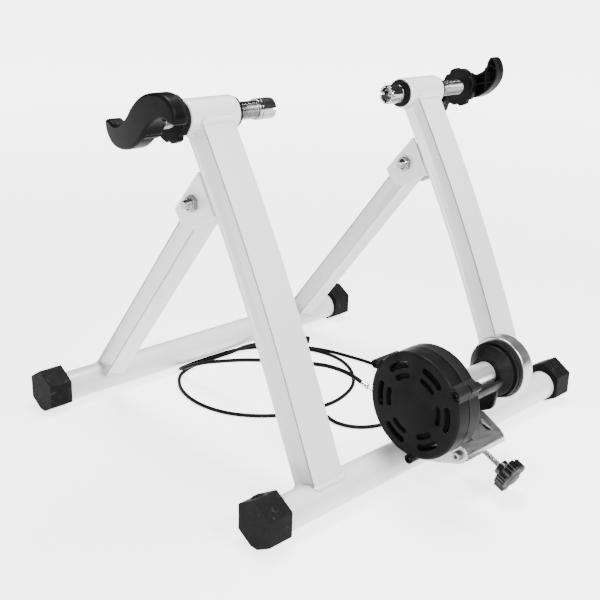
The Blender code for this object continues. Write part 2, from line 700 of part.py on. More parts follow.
def leg_direction():
    """Unit vector along a leg, from its pivot to the front tube."""
    return (Vector(FRONT) - Vector(PIVOT)).normalized()


def leg_top():
    """How far a leg runs past its pivot: its corners just clear the upright's front face as it swings."""
    path = upright_path()
    along = (path[-1] - path[-2]).normalized()
    facing = Vector((along.y, -along.x))
    to_face = (Vector(PIVOT) - path[-1]).dot(facing) - UPRIGHT_DEEP / 2 - GAP
    return math.sqrt(to_face ** 2 - (LEG_SIZE / 2) ** 2)


def make_leg(name, side):
    """A square tube with a cross hole for its bush, open at the top and coped onto the front tube."""
    x = side * UPRIGHT_SPREAD
    place = Matrix.Translation((x, 0, 0))
    along = leg_direction()
    path = [Vector(PIVOT) - along * leg_top(), Vector(FRONT)]
    leg = add(name, swept(path, LEG_SIZE, LEG_SIZE, LEG_CORNER, place), "front_fold_axis", "frame_paint")
    inside = LEG_SIZE - 2 * LEG_WALL
    shape(leg, swept(longer(path, 0.01), inside, inside, LEG_CORNER - LEG_WALL, place))
    shape(leg, rod(TUBE_RADIUS + GAP, x - LEG_SIZE, x + LEG_SIZE, (0, *FRONT), steps=24))
    shape(leg, rod(PIVOT_BUSH_DIAMETER / 2 + GAP, x - LEG_SIZE, x + LEG_SIZE, (0, *PIVOT), steps=20))


def make_leg_pivot(name, side):
    """Two brackets on the upright, a spacing bush through the leg, and a bolt with its nut."""
    x = side * UPRIGHT_SPREAD
    path = upright_path()
    along = (path[-1] - path[-2]).normalized()
    facing = Vector((along.y, -along.x))
    face = path[-1] + facing * (UPRIGHT_DEEP / 2 + GAP)

    def on_face(height):
        """The point of the upright's front face at a height above the floor."""
        return face + along * (height - face.y) / along.y

    toe = Vector(PIVOT) + Vector(BRACKET_TOE)
    brow = Vector(PIVOT) + Vector(BRACKET_BROW)
    root, top = on_face(PIVOT_Z - BRACKET_ROOT), on_face(PIVOT_Z + BRACKET_TOP)
    outline = rounded([(*root, 0), (*toe, 0.015), (*brow, 0.004), (*top, 0)])
    bolt = PIVOT_BOLT_DIAMETER / 2
    hole = circle(bolt + GAP, 16, PIVOT)
    for label, edge in (("left", -1), ("right", 1)):
        middle = x + edge * (BRACKET_SPREAD + BRACKET_PLATE) / 2
        mesh = plate([outline, hole], BRACKET_PLATE, along_x((0, 0), middle))
        add(f"leg_bracket_{name}_{label}", mesh, "stand", "frame_paint")
    half = BRACKET_SPREAD / 2 - GAP
    bush = pipe(PIVOT_BUSH_DIAMETER / 2, bolt + GAP, x - half, x + half, PIVOT, 16)
    add(f"leg_pivot_bush_{name}", bush, "stand", "zinc")
    out = BRACKET_SPREAD / 2 + BRACKET_PLATE + GAP
    centre = (x, *PIVOT)
    pivot_bolt = add(f"leg_pivot_bolt_{name}", rod(bolt, -out - 0.0135, out + 0.002, centre, chamfer=0.0006), "stand", "zinc")
    join(pivot_bolt, hexagon(0.017, out, out + 0.0064, centre))
    nut = add(f"leg_pivot_nut_{name}", hexagon(0.017, -out - 0.008, -out, centre), "stand", "zinc")
    shape(nut, rod(bolt + GAP, -out - 0.02, -out + 0.01, centre))


def adjuster_direction():
    return Vector((0, math.cos(ADJUSTER_ANGLE), math.sin(ADJUSTER_ANGLE)))


def make_unit_bracket():
    """A folded sheet bracket on the rear tube: two ears, a sloping top strap and a turned-down lip."""
    width = EAR_RIGHT - EAR_LEFT + SHEET
    middle = (EAR_LEFT + EAR_RIGHT) / 2
    outer = [(-0.0501, 0.0704), (-0.0745, 0.0573), (-0.0790, 0.0541), (-0.0818, 0.0500), (-0.0826, 0.0470), (-0.0826, 0.0430)]
    inner = [(-0.0796, 0.0430), (-0.0796, 0.0466), (-0.0790, 0.0488), (-0.0768, 0.0520), (-0.0728, 0.0548), (-0.0487, 0.0678)]
    bracket = add("unit_bracket", plate([outer + inner], width, along_x((0, 0), middle)), "stand", "chrome")
    top = (-0.0494, 0.0691)
    ear = rounded(
        [
            (-0.0495, 0.0688, 0.002), (-0.0800, 0.0527, 0.002), (-0.0810, 0.0400, 0.010), (-0.0700, 0.0352, 0.010),
            (-0.0430, 0.0262, 0.010), (-0.0120, 0.0180, 0), (0.0020, 0.0300, 0), (0.0020, 0.0440, 0),
            (-0.0100, 0.0600, 0.010), (-0.0300, 0.0660, 0.010),
        ]
    )
    holes = [circle(TILT_BOLT_DIAMETER / 2 + GAP, 16, TILT), circle(0.0034, 16, BARREL)]
    for x in (EAR_LEFT, EAR_RIGHT):
        join(bracket, plate([ear], SHEET, along_x((0, 0), x)))
    shape(bracket, rod(TUBE_RADIUS + GAP, EAR_LEFT - 0.01, EAR_RIGHT + 0.01, (0, *REAR), steps=24))
    for hole in holes:
        shape(bracket, plate([hole], 0.09, along_x((0, 0), middle)))
    for start, end, low, high in ((0.014, 0.023, -0.0725, -0.0575), (-0.029, -0.011, -0.0735, -0.0560)):
        window = plate(
            [((start, low), (end, low), (end, high), (start, high))], 0.03, Matrix.Translation((0, 0, top[1] - 0.004))
        )
        shape(bracket, window)
    notch = ADJUSTER_DIAMETER / 2 + 0.0010
    shape(bracket, rod(notch, -0.024, -0.005, (0, *BARREL), adjuster_direction(), 12))


def make_adjuster():
    """The barrel between the bracket's ears, its two screws, the adjusting screw and its star knob."""
    left, right = EAR_LEFT + SHEET / 2 + GAP, EAR_RIGHT - SHEET / 2 - GAP
    barrel = add("adjuster_barrel", rod(BARREL_DIAMETER / 2, left, right, (0, *BARREL), chamfer=0.0005), "stand", "chrome")
    direction = adjuster_direction()
    shank = ADJUSTER_DIAMETER / 2
    place = (0, *BARREL)
    shape(barrel, rod(shank + GAP, -0.02, 0.02, place, direction))
    stud, depth = 0.0030, 0.010
    for name, side, ear in (("left", -1, EAR_LEFT), ("right", 1, EAR_RIGHT)):
        face = ear + side * (SHEET / 2 + GAP)
        out = X_AXIS * side
        shape(barrel, rod(stud + GAP, -depth - SHEET - 2 * GAP, 0.01, (face, *BARREL), out))
        screw = add(
            f"barrel_screw_{name}", rod(stud, -depth - SHEET, 0.0075, (face, *BARREL), out, 12, 0.0004), "stand", "zinc"
        )
        join(screw, hexagon(0.0100, 0, 0.0050, (face, *BARREL), out))
    tip = 0.0010
    end = ADJUSTER_REACH
    profile = (
        (0, end), (tip, end), (shank, end - 0.003), (shank, -ADJUSTER_NECK - 0.0115), (shank - 0.0005, -ADJUSTER_NECK - 0.012),
        (0, -ADJUSTER_NECK - 0.012),
    )
    bar = turned(profile, pointing(direction, place), 12, closed=False)
    add("adjusting_screw", bar, "adjuster_axis", "zinc")
    make_knob(direction, shank)


def make_knob(direction, shank):
    """A five-lobed knob with a collar, domed on its outer face."""
    radius = KNOB_DIAMETER / 2
    depth = 0.0042
    steps = KNOB_LOBES * 8
    outline = []
    for k in range(steps):
        angle = 2 * math.pi * k / steps
        valley = max(0.0, math.cos(KNOB_LOBES * angle)) ** 1.5
        outline.append(Vector((math.cos(angle), math.sin(angle))) * (radius - depth * valley))
    place = pointing(-direction, (0, *BARREL))
    lobes = plate([outline], KNOB_THICKNESS, place @ Matrix.Translation((0, 0, KNOB_FACE + KNOB_THICKNESS / 2)), 0.0012)
    knob = add("adjuster_knob", lobes, "adjuster_axis", "black_plastic")
    collar = 0.0090
    profile = (
        (0, KNOB_FACE + 0.004), (collar, KNOB_FACE + 0.004), (collar, ADJUSTER_NECK), (0, ADJUSTER_NECK),
    )
    join(knob, turned(profile, place, 16, closed=False))
    dome = KNOB_FACE + KNOB_THICKNESS
    swell = ((0, dome + 0.0022), (0.008, dome + 0.0017), (0.0125, dome - 0.001), (0, dome - 0.001))
    join(knob, turned(swell, place, 16, closed=False))
    shape(knob, rod(shank + GAP, ADJUSTER_NECK - 0.01, ADJUSTER_NECK + 0.012 + GAP, (0, *BARREL), -direction))


def make_yoke():
    """The casting that carries the roller: a trough, two cheeks, the bell, and a tongue for the adjuster."""
    clear = ROLLER_DIAMETER / 2 + 0.0045
    wall = 0.005
    low, high = math.radians(188), math.radians(330)
    left_cheek = ROLLER_INNER - 0.0005 - CHEEK
    right_cheek = ROLLER_OUTER + 0.0005
    trough = arc(UNIT, clear + wall, low, high, 9) + arc(UNIT, clear, high, low, 9)
    length = right_cheek + CHEEK - left_cheek
    middle = (right_cheek + CHEEK + left_cheek) / 2
    yoke = add("unit_yoke", plate([trough], length, along_x((0, 0), middle)), "unit_tilt_axis", "cast_black")
    y, z = UNIT
    cheek = rounded(
        [
            (y - 0.0180, z - 0.0075, 0.003), (y - 0.0120, z - 0.0420, 0.010), (y + 0.0035, z - 0.0500, 0.006),
            (TILT_Y - 0.0115, TILT_Z - 0.0110, 0.010), (TILT_Y + 0.0115, TILT_Z - 0.0110, 0.010),
            (TILT_Y + 0.0125, TILT_Z + 0.0140, 0.012), (y + 0.0200, z - 0.0080, 0.006), (y + 0.0140, z + 0.0120, 0.010),
            (y - 0.0140, z + 0.0120, 0.010),
        ]
    )
    shaft_hole = circle(SHAFT_DIAMETER / 2 + GAP, 20, UNIT)
    tilt_hole = circle(TILT_BOLT_DIAMETER / 2 + GAP, 16, TILT)
    for x in (left_cheek, right_cheek):
        join(yoke, plate([cheek], CHEEK, along_x((0, 0), x + CHEEK / 2)))
    ears = ((left_cheek + CHEEK - 0.001, EAR_LEFT - SHEET / 2 - GAP), (EAR_RIGHT + SHEET / 2 + GAP, right_cheek + 0.001))
    for start, end in ears:
        join(yoke, rod(0.0100, start, end, (0, *TILT)))
    small, large, skin = BELL_SMALL / 2, BELL_LARGE / 2, 0.0030
    start, end = BELL_START, BELL_END
    profile = (
        (large, end - 0.0005), (large - 0.0006, end - 0.004), (small, start + 0.0005), (clear - wall + 0.001, start + 0.0005),
        (clear - wall + 0.001, start + CHEEK), (small - 0.0005, start + CHEEK + 0.001), (large - skin, end - 0.0005),
    )
    join(yoke, turned(profile, pointing(X_AXIS, (0, *UNIT)), 24))
    make_tongue(yoke)
    for hole, at in ((shaft_hole, UNIT), (tilt_hole, TILT)):
        shape(yoke, plate([hole], 0.15, along_x((0, 0), 0)))
    shape(yoke, rod(NUT_POCKET_DIAMETER / 2, left_cheek - 0.01, left_cheek + NUT_POCKET, (0, *TILT), steps=20))
    make_tilt_pivot(left_cheek, right_cheek + CHEEK)


def make_tongue(yoke):
    """The tongue under the trough, square to the adjusting screw, whose tip bears on it."""
    direction = adjuster_direction()
    up = Vector((0, -direction.z, direction.y))
    near = ADJUSTER_REACH + GAP
    corners = ((near, -0.0080), (near + 0.005, -0.0080), (near + 0.005, 0.0335), (near, 0.0335))
    outline = []
    for along, over in corners:
        point = Vector((0, *BARREL)) + direction * along + up * over
        outline.append((point.y, point.z))
    join(yoke, plate([outline], 0.032, along_x((0, 0), 0)))


def make_tilt_pivot(left, right):
    """The bolt and nut on which the unit tilts."""
    place = (0, *TILT)
    bolt = add("unit_pivot_bolt", rod(TILT_BOLT_DIAMETER / 2, left + GAP, right + 0.002, place), "stand", "zinc")
    join(bolt, hexagon(TILT_NUT, right + GAP, right + 0.0053, place))
    nut = add("unit_pivot_nut", hexagon(TILT_NUT, left + GAP, left + NUT_POCKET - GAP, place), "stand", "zinc")
    shape(nut, rod(TILT_BOLT_DIAMETER / 2 + GAP, left - 0.02, left + 0.01, place))


def slot_outline(radius, width, middle):
    """A slot bent round the axis, with round ends."""
    half = SLOT_SPAN / 2 - width / 2 / radius
    outline = arc((0, 0), radius + width / 2, middle - half, middle + half, 3)
    for end, first in ((middle + half, middle + half), (middle - half, middle - half + math.pi)):
        centre = (radius * math.cos(end), radius * math.sin(end))
        outline += arc(centre, width / 2, first, first + math.pi, 3)[1:-1]
        if end > middle:
            outline += arc((0, 0), radius - width / 2, middle + half, middle - half, 2)
    return outline


def boss(start, end, angle, recess=0.0):
    """A screw boss along X on the housing's edge, with a recess for the screw's head at its start."""
    place = (UNIT_Y + BOSS_CIRCLE * math.cos(angle), UNIT_Z + BOSS_CIRCLE * math.sin(angle))
    radius, hole = BOSS_DIAMETER / 2, BOSS_RECESS / 2
    profile = [(0, end), (radius, end), (radius, start), (0, start)]
    if recess:
        profile = [(0, end), (radius, end), (radius, start + 0.0006), (radius - 0.0006, start)]
        profile += [(hole, start), (hole, start + recess), (0, start + recess)]
    return turned(profile, pointing(X_AXIS, (0, *place)), 10, closed=False)


def make_housing():
    """The two halves round the magnets: a slotted cover and a rear shell, joined by three screw bosses."""
    radius, wall = HOUSING_DIAMETER / 2, HOUSING_WALL
    face, seam, back = HOUSING_FACE, HOUSING_SEAM, HOUSING_BACK
    cover_profile = (
        (0, face), (radius - 0.003, face), (radius, face + 0.003), (radius, seam - GAP), (radius - wall, seam - GAP),
        (radius - wall, face + wall), (0, face + wall),
    )
    turn = pointing(X_AXIS, (0, *UNIT))
    cover = add("housing_cover", turned(cover_profile, turn, 36, closed=False), "unit_tilt_axis", "black_plastic")
    join(cover, rod(SPIGOT_DIAMETER / 2, face + wall / 2, SPIGOT_END, (0, *UNIT), steps=16))
    rear_profile = (
        (radius, back - 0.0005), (radius, seam + GAP), (radius - wall, seam + GAP), (radius - wall, back - wall),
        (0.010, back - wall), (0.010, back - 0.0005),
    )
    rear = add("housing_rear_half", turned(rear_profile, turn, 36), "unit_tilt_axis", "black_plastic")
    for angle in BOSS_ANGLES:
        join(cover, boss(face - 0.0025, seam - GAP, angle, 0.006))
        join(rear, boss(seam + GAP, back - 0.002, angle))
    for ring_radius, width in SLOT_RINGS:
        for k in range(SLOTS_PER_RING):
            slot = slot_outline(ring_radius, width, 2 * math.pi * k / SLOTS_PER_RING)
            shape(cover, plate([slot], 0.012, along_x(UNIT, face)))
    start, end, _ = wire_ends()
    shape(cover, rod(WIRE_DIAMETER / 2 + GAP, 0, (end - start).length, start, end - start, 8))


def make_magnets_and_rotor():
    """The magnet carrier that the cable turns, and the disc that spins past its magnets."""
    spigot = SPIGOT_DIAMETER / 2
    back = HOUSING_FACE + HOUSING_WALL + SIDE_PLAY
    lug_angle = math.radians(-22)
    outline = circle(0.046, 24)
    carrier = add(
        "magnet_carrier", plate([outline, circle(spigot + 2 * GAP, 16)], 0.003, along_x(UNIT, back + 0.0015)), "magnet_axis", "zinc"
    )
    lug = rounded([(0.040, -0.005, 0.0), (0.0490, -0.0035, 0.002), (0.0490, 0.0035, 0.002), (0.040, 0.005, 0.0)])
    lug_place = along_x(UNIT, back + 0.00475) @ Matrix.Rotation(lug_angle, 4, "Z")
    join(carrier, plate([lug], 0.0095, lug_place))
    for k in range(MAGNETS):
        angle = 2 * math.pi * (k + 0.5) / MAGNETS
        spot = Matrix.Translation((0.034 * math.cos(angle), 0.034 * math.sin(angle), 0))
        magnet = plate([circle(0.010, 10)], 0.0075, along_x(UNIT, back + 0.006) @ spot)
        join(carrier, magnet)
    shaft = SHAFT_DIAMETER / 2
    near = SPIGOT_END + 0.001
    hub_end = HOUSING_BACK - HOUSING_WALL - 0.0012
    profile = (
        (shaft + GAP, near), (ROTOR_DIAMETER / 2, near), (ROTOR_DIAMETER / 2, near + ROTOR_THICKNESS),
        (0.013, near + ROTOR_THICKNESS),
        (0.012, hub_end), (shaft + GAP, hub_end),
    )
    add("rotor_disc", turned(profile[::-1], pointing(X_AXIS, (0, *UNIT)), 24), "roller_axis", "rotor_aluminium")


def make_roller():
    """The steel roller, its shaft, and the flywheel with its hub and nut."""
    shaft = SHAFT_DIAMETER / 2
    place = (0, *UNIT)
    turn = pointing(X_AXIS, place)
    add("roller_shaft", rod(shaft, SHAFT_START, SHAFT_END, place, chamfer=0.0006), "roller_axis", "roller_steel")
    radius = ROLLER_DIAMETER / 2
    start, end = ROLLER_INNER, ROLLER_OUTER
    profile = (
        (shaft + GAP, start), (radius - 0.0008, start), (radius, start + 0.0008), (radius, end - 0.0008),
        (radius - 0.0008, end), (shaft + GAP, end),
    )
    add("roller", turned(profile[::-1], turn, 24), "roller_axis", "roller_steel")
    hub = COLLAR_DIAMETER / 2
    begin = BELL_END + 0.0008
    profile = (
        (shaft + GAP, begin), (hub, begin), (hub, begin + 0.0030), (hub - 0.0012, begin + 0.0036),
        (hub - 0.0012, begin + 0.0046), (hub, begin + 0.0052), (hub, COLLAR_END), (shaft + GAP, COLLAR_END),
    )
    add("flywheel_hub", turned(profile[::-1], turn, 24), "roller_axis", "black_plastic")
    rim = FLYWHEEL_DIAMETER / 2
    begin, end = FLYWHEEL_START, FLYWHEEL_END
    dish = 0.0055
    profile = (
        (shaft + GAP, begin), (rim - 0.0012, begin), (rim, begin + 0.0012), (rim, end - 0.0012), (rim - 0.0012, end),
        (rim - 0.0070, end), (rim - 0.0085, end - dish), (0.0135, end - dish), (0.0125, end - 0.001), (shaft + GAP, end - 0.001),
    )
    add("flywheel", turned(profile[::-1], turn, 30), "roller_axis", "chrome")
    nut = add("flywheel_nut", hexagon(0.016, end - 0.001 + GAP, end + 0.005, place), "roller_axis", "zinc")
    shape(nut, rod(shaft + GAP, end - 0.01, end + 0.02, place))


def wire_ends():
    """The bare wire's inner end, its end in the ferrule, and the ferrule's far end."""
    cable_start = Vector(CABLE_ROUTE[0])
    heading = (Vector(CABLE_ROUTE[1]) - cable_start).normalized()
    ferrule_end = cable_start - heading * GAP
    ferrule_start = ferrule_end - heading * 0.0090
    aim = Vector((cable_start.x, UNIT_Y + 0.0465, UNIT_Z - 0.0195))
    inner = ferrule_start + (aim - ferrule_start).normalized() * ((aim - ferrule_start).length - 0.0003)
    return inner, ferrule_start, ferrule_end


def smooth_route(points, count):
    """Points evenly spaced on a smooth curve through the route's points (centripetal Catmull-Rom)."""
    route = [Vector(p) for p in points]
    route = [route[0] * 2 - route[1], *route, route[-1] * 2 - route[-2]]
    fine = []
    for before, start, end, after in zip(route, route[1:], route[2:], route[3:]):
        for t in np.linspace(0, 1, 24, endpoint=False):
            fine.append(
                0.5 * (2 * start + (end - before) * t + (2 * before - 5 * start + 4 * end - after) * t**2
                       + (3 * start - before - 3 * end + after) * t**3)
            )
    fine.append(route[-2])
    steps = np.array([(b - a).length for a, b in zip(fine, fine[1:])])
    travelled = np.concatenate([[0], np.cumsum(steps)])
    wanted = np.linspace(0, travelled[-1], count)
    coordinates = np.array([tuple(p) for p in fine])
    print(f"cable length {travelled[-1]:.3f} m")
    return np.column_stack([np.interp(wanted, travelled, coordinates[:, k]) for k in range(3)])


def make_cable():
    """The control cable: wire, ferrule, and the outer cable along its whole route."""
    inner, ferrule_start, ferrule_end = wire_ends()
    wire = inner - ferrule_start
    add(
        "cable_inner_wire", rod(WIRE_DIAMETER / 2, GAP, wire.length, ferrule_start, wire, 6), "unit_tilt_axis", "zinc"
    )
    ferrule = ferrule_end - ferrule_start
    mesh = rod(FERRULE_DIAMETER / 2, 0, ferrule.length, ferrule_start, ferrule, 12, 0.0006)
    add("cable_ferrule", mesh, "unit_tilt_axis", "chrome")
    curve = bpy.data.curves.new("cable", "CURVE")
    curve.dimensions = "3D"
    curve.bevel_depth = CABLE_DIAMETER / 2
    curve.bevel_resolution = 2
    curve.use_fill_caps = True
    spline = curve.splines.new("POLY")
    spline.points.add(CABLE_POINTS - 1)
    for point, place in zip(spline.points, smooth_route(CABLE_ROUTE, CABLE_POINTS)):
        point.co = (*place, 1)
    add("cable_outer", baked(bpy.data.objects.new("cable", curve)), "stand", "cable_black")


def lever_pivot():
    """Where the remote's lever turns, in plan."""
    along = Vector((math.cos(REMOTE_TURN), math.sin(REMOTE_TURN)))
    return Vector((REMOTE_X, REMOTE_Y)) + along * (REMOTE_LENGTH / 2 - REMOTE_WIDTH / 2)


def make_remote():
    """The handlebar remote at the cable's far end: a body with its band clamp, and a thumb lever."""
    turn = Matrix.Translation((REMOTE_X, REMOTE_Y, 0)) @ Matrix.Rotation(REMOTE_TURN, 4, "Z")
    half, side = REMOTE_LENGTH / 2, REMOTE_WIDTH / 2
    outline = rounded([(-half, -side, 0.004), (half, -side, side - 0.0005), (half, side, side - 0.0005), (-half, side, 0.004)])
    body = plate([outline], REMOTE_HEIGHT, turn @ Matrix.Translation((0, 0, REMOTE_HEIGHT / 2)), 0.001)
    remote = add("remote_body", body, "stand", "black_plastic")
    bore, band = CLAMP_BORE / 2, 0.0028
    centre = (-0.004, side + bore + band - 0.0015)
    height = 0.010
    level = REMOTE_HEIGHT - height / 2 - 0.001
    ring = plate([circle(bore + band, 20, centre)], height, turn @ Matrix.Translation((0, 0, level)))
    join(remote, ring)
    shape(remote, plate([circle(bore, 20, centre)], 0.05, turn))
    ear_place = turn @ Matrix.Translation((centre[0], centre[1] + bore + band, level))
    tab = plate([((-0.005, -0.002), (0.005, -0.002), (0.005, 0.004), (-0.005, 0.004))], height - 0.002, ear_place)
    join(remote, tab)
    shape(remote, plate([((-0.001, -0.006), (0.001, -0.006), (0.001, 0.01), (-0.001, 0.01))], 0.05, ear_place))
    hub = side - 0.002
    reach = 0.042
    pivot = Matrix.Translation((*lever_pivot(), REMOTE_HEIGHT + GAP)) @ Matrix.Rotation(REMOTE_TURN, 4, "Z")
    paddle = rounded([(-hub, -hub, hub - 0.0005), (reach, -0.005, 0.004), (reach, 0.005, 0.004), (-hub, hub, hub - 0.0005)])
    lever = add(
        "remote_lever", plate([paddle], 0.005, pivot @ Matrix.Translation((0, 0, 0.0025)), 0.0008), "remote_lever_axis",
        "black_plastic",
    )
    grip = rounded([(reach - 0.012, -0.0045, 0.002), (reach, -0.0045, 0.003), (reach, 0.0045, 0.003), (reach - 0.012, 0.0045, 0.002)])
    join(lever, plate([grip], 0.009, pivot @ Matrix.Translation((0, 0, -0.0010))))


def make_stand():
    """The frame: base tubes, feet, uprights, sleeves, legs and their pivots."""
    make_base_tube("rear_base_tube", REAR, "stand")
    make_base_tube("front_base_tube", FRONT, "front_fold_axis")
    for name, side in SIDES:
        make_foot(f"rear_foot_{name}", side, REAR, f"rear_foot_axis_{name}")
        make_foot(f"front_foot_{name}", side, FRONT, f"front_foot_axis_{name}")
        make_upright(f"upright_{name}", side)
        make_sleeve(name, side)
        make_leg(f"folding_leg_{name}", side)
        make_leg_pivot(name, side)
        make_clamp(name, side)


make_axes()
make_stand()
make_unit_bracket()
make_adjuster()
make_yoke()
make_housing()
make_magnets_and_rotor()
make_roller()
make_cable()
make_remote()
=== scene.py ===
# %% [markdown]
# # A folding bike trainer, surface by surface
#
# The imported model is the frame: it says where each piece is and how it moves. This script gives
# every piece its finish. Round and moulded pieces are worked out again as fine numpy surfaces on
# the places of the plain ones. Lengths are in metres. Places are first written in the stand's own
# axes, measured from the middle of the rear tube on the floor, as a maker would measure them.

# %% Load the frame
import json
import math

import bmesh
import bpy
import numpy as np
from mathutils import Matrix, Vector


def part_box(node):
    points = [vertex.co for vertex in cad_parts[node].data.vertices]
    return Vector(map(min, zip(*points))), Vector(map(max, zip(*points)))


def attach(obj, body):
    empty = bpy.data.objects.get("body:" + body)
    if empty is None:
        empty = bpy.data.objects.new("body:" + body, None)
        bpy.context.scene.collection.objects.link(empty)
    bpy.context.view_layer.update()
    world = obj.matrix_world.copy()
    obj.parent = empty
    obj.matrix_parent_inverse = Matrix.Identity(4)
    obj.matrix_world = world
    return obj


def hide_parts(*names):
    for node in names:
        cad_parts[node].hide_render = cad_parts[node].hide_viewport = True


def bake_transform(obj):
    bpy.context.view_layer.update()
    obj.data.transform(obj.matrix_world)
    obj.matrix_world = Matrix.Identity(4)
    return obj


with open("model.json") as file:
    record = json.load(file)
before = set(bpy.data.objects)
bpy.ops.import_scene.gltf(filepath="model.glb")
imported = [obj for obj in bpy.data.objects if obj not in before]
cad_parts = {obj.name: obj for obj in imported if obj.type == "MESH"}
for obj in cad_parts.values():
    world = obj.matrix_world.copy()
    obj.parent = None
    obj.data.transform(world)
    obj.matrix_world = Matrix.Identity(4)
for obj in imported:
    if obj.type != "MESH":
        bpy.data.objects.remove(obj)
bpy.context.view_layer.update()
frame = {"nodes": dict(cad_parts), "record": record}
nodes = frame["nodes"]
rear_low, rear_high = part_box("rear_base_tube")
TUBE_RADIUS = 0.01905
TUBE_HEIGHT = 0.022
PLACE = np.array(((rear_low.x + rear_high.x) / 2, (rear_low.y + rear_high.y) / 2, 0.0))
print("nodes", len(nodes), "stand's origin", PLACE.round(4))

# %% [markdown]
# ## Camera
#
# The photograph was taken from the left, behind the rear tube, a little above the axle. The
# camera stands where the stand's straight edges meet the picture: 57 mm lens, 18.8 degrees down.

# %% Camera
IMAGE_WIDTH = 600
SENSOR_WIDTH = 36       # millimetres
FOCAL_PIXELS = 952.4
PRINCIPAL_PIXEL = (314.5, 286.1)
CAMERA_PLACE = np.array((-0.8118, -0.6113, 0.5548)) + PLACE
HEADING, PITCH, ROLL = (math.radians(a) for a in (45.15, 18.81, 1.69))


def make_camera():
    """Right, up and back are the camera's axes: heading turns about Z, pitch looks down, roll tilts."""
    level = math.cos(PITCH)
    forward = Vector((math.sin(HEADING) * level, math.cos(HEADING) * level, -math.sin(PITCH)))
    right = forward.cross(Vector((0, 0, 1))).normalized()
    up = right.cross(forward)
    rolled_right = right * math.cos(ROLL) + up * math.sin(ROLL)
    rolled_up = up * math.cos(ROLL) - right * math.sin(ROLL)
    data = bpy.data.cameras.new("camera")
    data.sensor_width = SENSOR_WIDTH
    data.lens = FOCAL_PIXELS / IMAGE_WIDTH * SENSOR_WIDTH
    data.shift_x = (IMAGE_WIDTH / 2 - PRINCIPAL_PIXEL[0]) / IMAGE_WIDTH
    data.shift_y = (PRINCIPAL_PIXEL[1] - IMAGE_WIDTH / 2) / IMAGE_WIDTH
    data.clip_start = 0.02
    camera = bpy.data.objects.new("camera", data)
    turn = Matrix((rolled_right, rolled_up, -forward)).transposed().to_4x4()
    camera.matrix_world = Matrix.Translation(CAMERA_PLACE) @ turn
    bpy.context.scene.collection.objects.link(camera)
    bpy.context.scene.camera = camera
    print("camera at", CAMERA_PLACE.round(3), "lens", round(data.lens, 1))


make_camera()

# %% [markdown]
# ## Surfaces as arrays
#
# Every new piece is a stack of closed rings of points. `quads` joins neighbouring rings into
# faces. A ring whose points all fall together closes the surface like the pole of a globe.

# %% Rings into faces


def unit(vectors):
    """Vectors made one long."""
    return vectors / np.linalg.norm(vectors, axis=-1, keepdims=True)


def around(steps):
    """Angles spread evenly over a full turn."""
    return np.linspace(0, 2 * math.pi, steps, endpoint=False)


def polar(radius, angle, height):
    """x = r cos a, y = r sin a, z = h, for arrays whose shapes go together."""
    return np.stack(np.broadcast_arrays(radius * np.cos(angle), radius * np.sin(angle), height), -1)


def quads(rows, columns, closed=False):
    """Cell (i, j) of a grid of rings becomes the face (i, j), (i, j+1), (i+1, j+1), (i+1, j)."""
    i, j = np.mgrid[0 : rows - (not closed), 0:columns]
    after, beside = (i + 1) % rows, (j + 1) % columns
    cells = (i * columns + j, i * columns + beside, after * columns + beside, after * columns + j)
    return np.stack(cells, -1).reshape(-1, 4).tolist()


def loft(rings, closed=False, caps=True):
    """Rings (m, n, 3) joined in order; the first and last are capped unless the stack is closed."""
    rings = np.asarray(rings, float)
    rows, columns = rings.shape[:2]
    faces = quads(rows, columns, closed)
    if caps and not closed:
        faces.append(list(range(columns))[::-1])
        faces.append(list(range((rows - 1) * columns, rows * columns)))
    return rings.reshape(-1, 3), faces


def fillet(corners, steps=6, closed=True):
    """Each corner (u, v, r) becomes an arc of radius r that touches both of its sides."""
    outline = []
    count = len(corners)
    for i, (u, v, radius) in enumerate(corners):
        corner = np.array((u, v))
        if not radius or (not closed and i in (0, count - 1)):
            outline.append(corner)
            continue
        before = unit(np.array(corners[i - 1][:2]) - corner)
        after = unit(np.array(corners[(i + 1) % count][:2]) - corner)
        half = math.acos(np.clip(before @ after, -1, 1)) / 2
        centre = corner + unit(before + after) * radius / math.sin(half)
        start = corner + before * radius / math.tan(half) - centre
        sweep = math.copysign(math.pi - 2 * half, start[0] * after[1] - start[1] * after[0])
        angles = np.linspace(0, sweep, steps + 1)[:, None]
        outline.extend(centre + start * np.cos(angles) + np.array((-start[1], start[0])) * np.sin(angles))
    return np.array(outline)


def normals(outline):
    """The outward normal at each point of an outline that runs anticlockwise."""
    tangent = unit(np.roll(outline, -1, 0) - np.roll(outline, 1, 0))
    return np.stack([tangent[:, 1], -tangent[:, 0]], -1)


def stacked(outline, insets, heights):
    """A ring for each height: the outline, moved inwards by that height's inset."""
    flat = outline[None] - normals(outline)[None] * insets[:, None, None]
    return loft(np.concatenate([flat, np.broadcast_to(heights[:, None, None], (*flat.shape[:2], 1))], -1))


def rounded(start, end, edge, steps):
    """Insets and heights up a wall whose two edges are quarter circles: e(1 - sin a) and e(1 - cos a)."""
    turn = np.linspace(0, math.pi / 2, steps + 1)
    inset, rise = edge * (1 - np.sin(turn)), edge * (1 - np.cos(turn))
    return np.concatenate([inset, inset[::-1]]), np.concatenate([start + rise, (end - rise)[::-1]])


def slab(outline, start, end, edge=0.0006, steps=3):
    """An outline, run either way round, given thickness from start to end with its edges rounded."""
    outline = np.asarray(outline, float)
    following = np.roll(outline, -1, 0)
    if np.sum(outline[:, 0] * following[:, 1] - outline[:, 1] * following[:, 0]) < 0:
        outline = outline[::-1]
    return stacked(outline, *rounded(start, end, edge, steps))


# %% Placing and finishing pieces
NEARLY_Z = 1e-9     # a direction this near to Z has no level side of its own
WELD_DISTANCE = 2e-6
SHARP_ANGLE = math.radians(32)


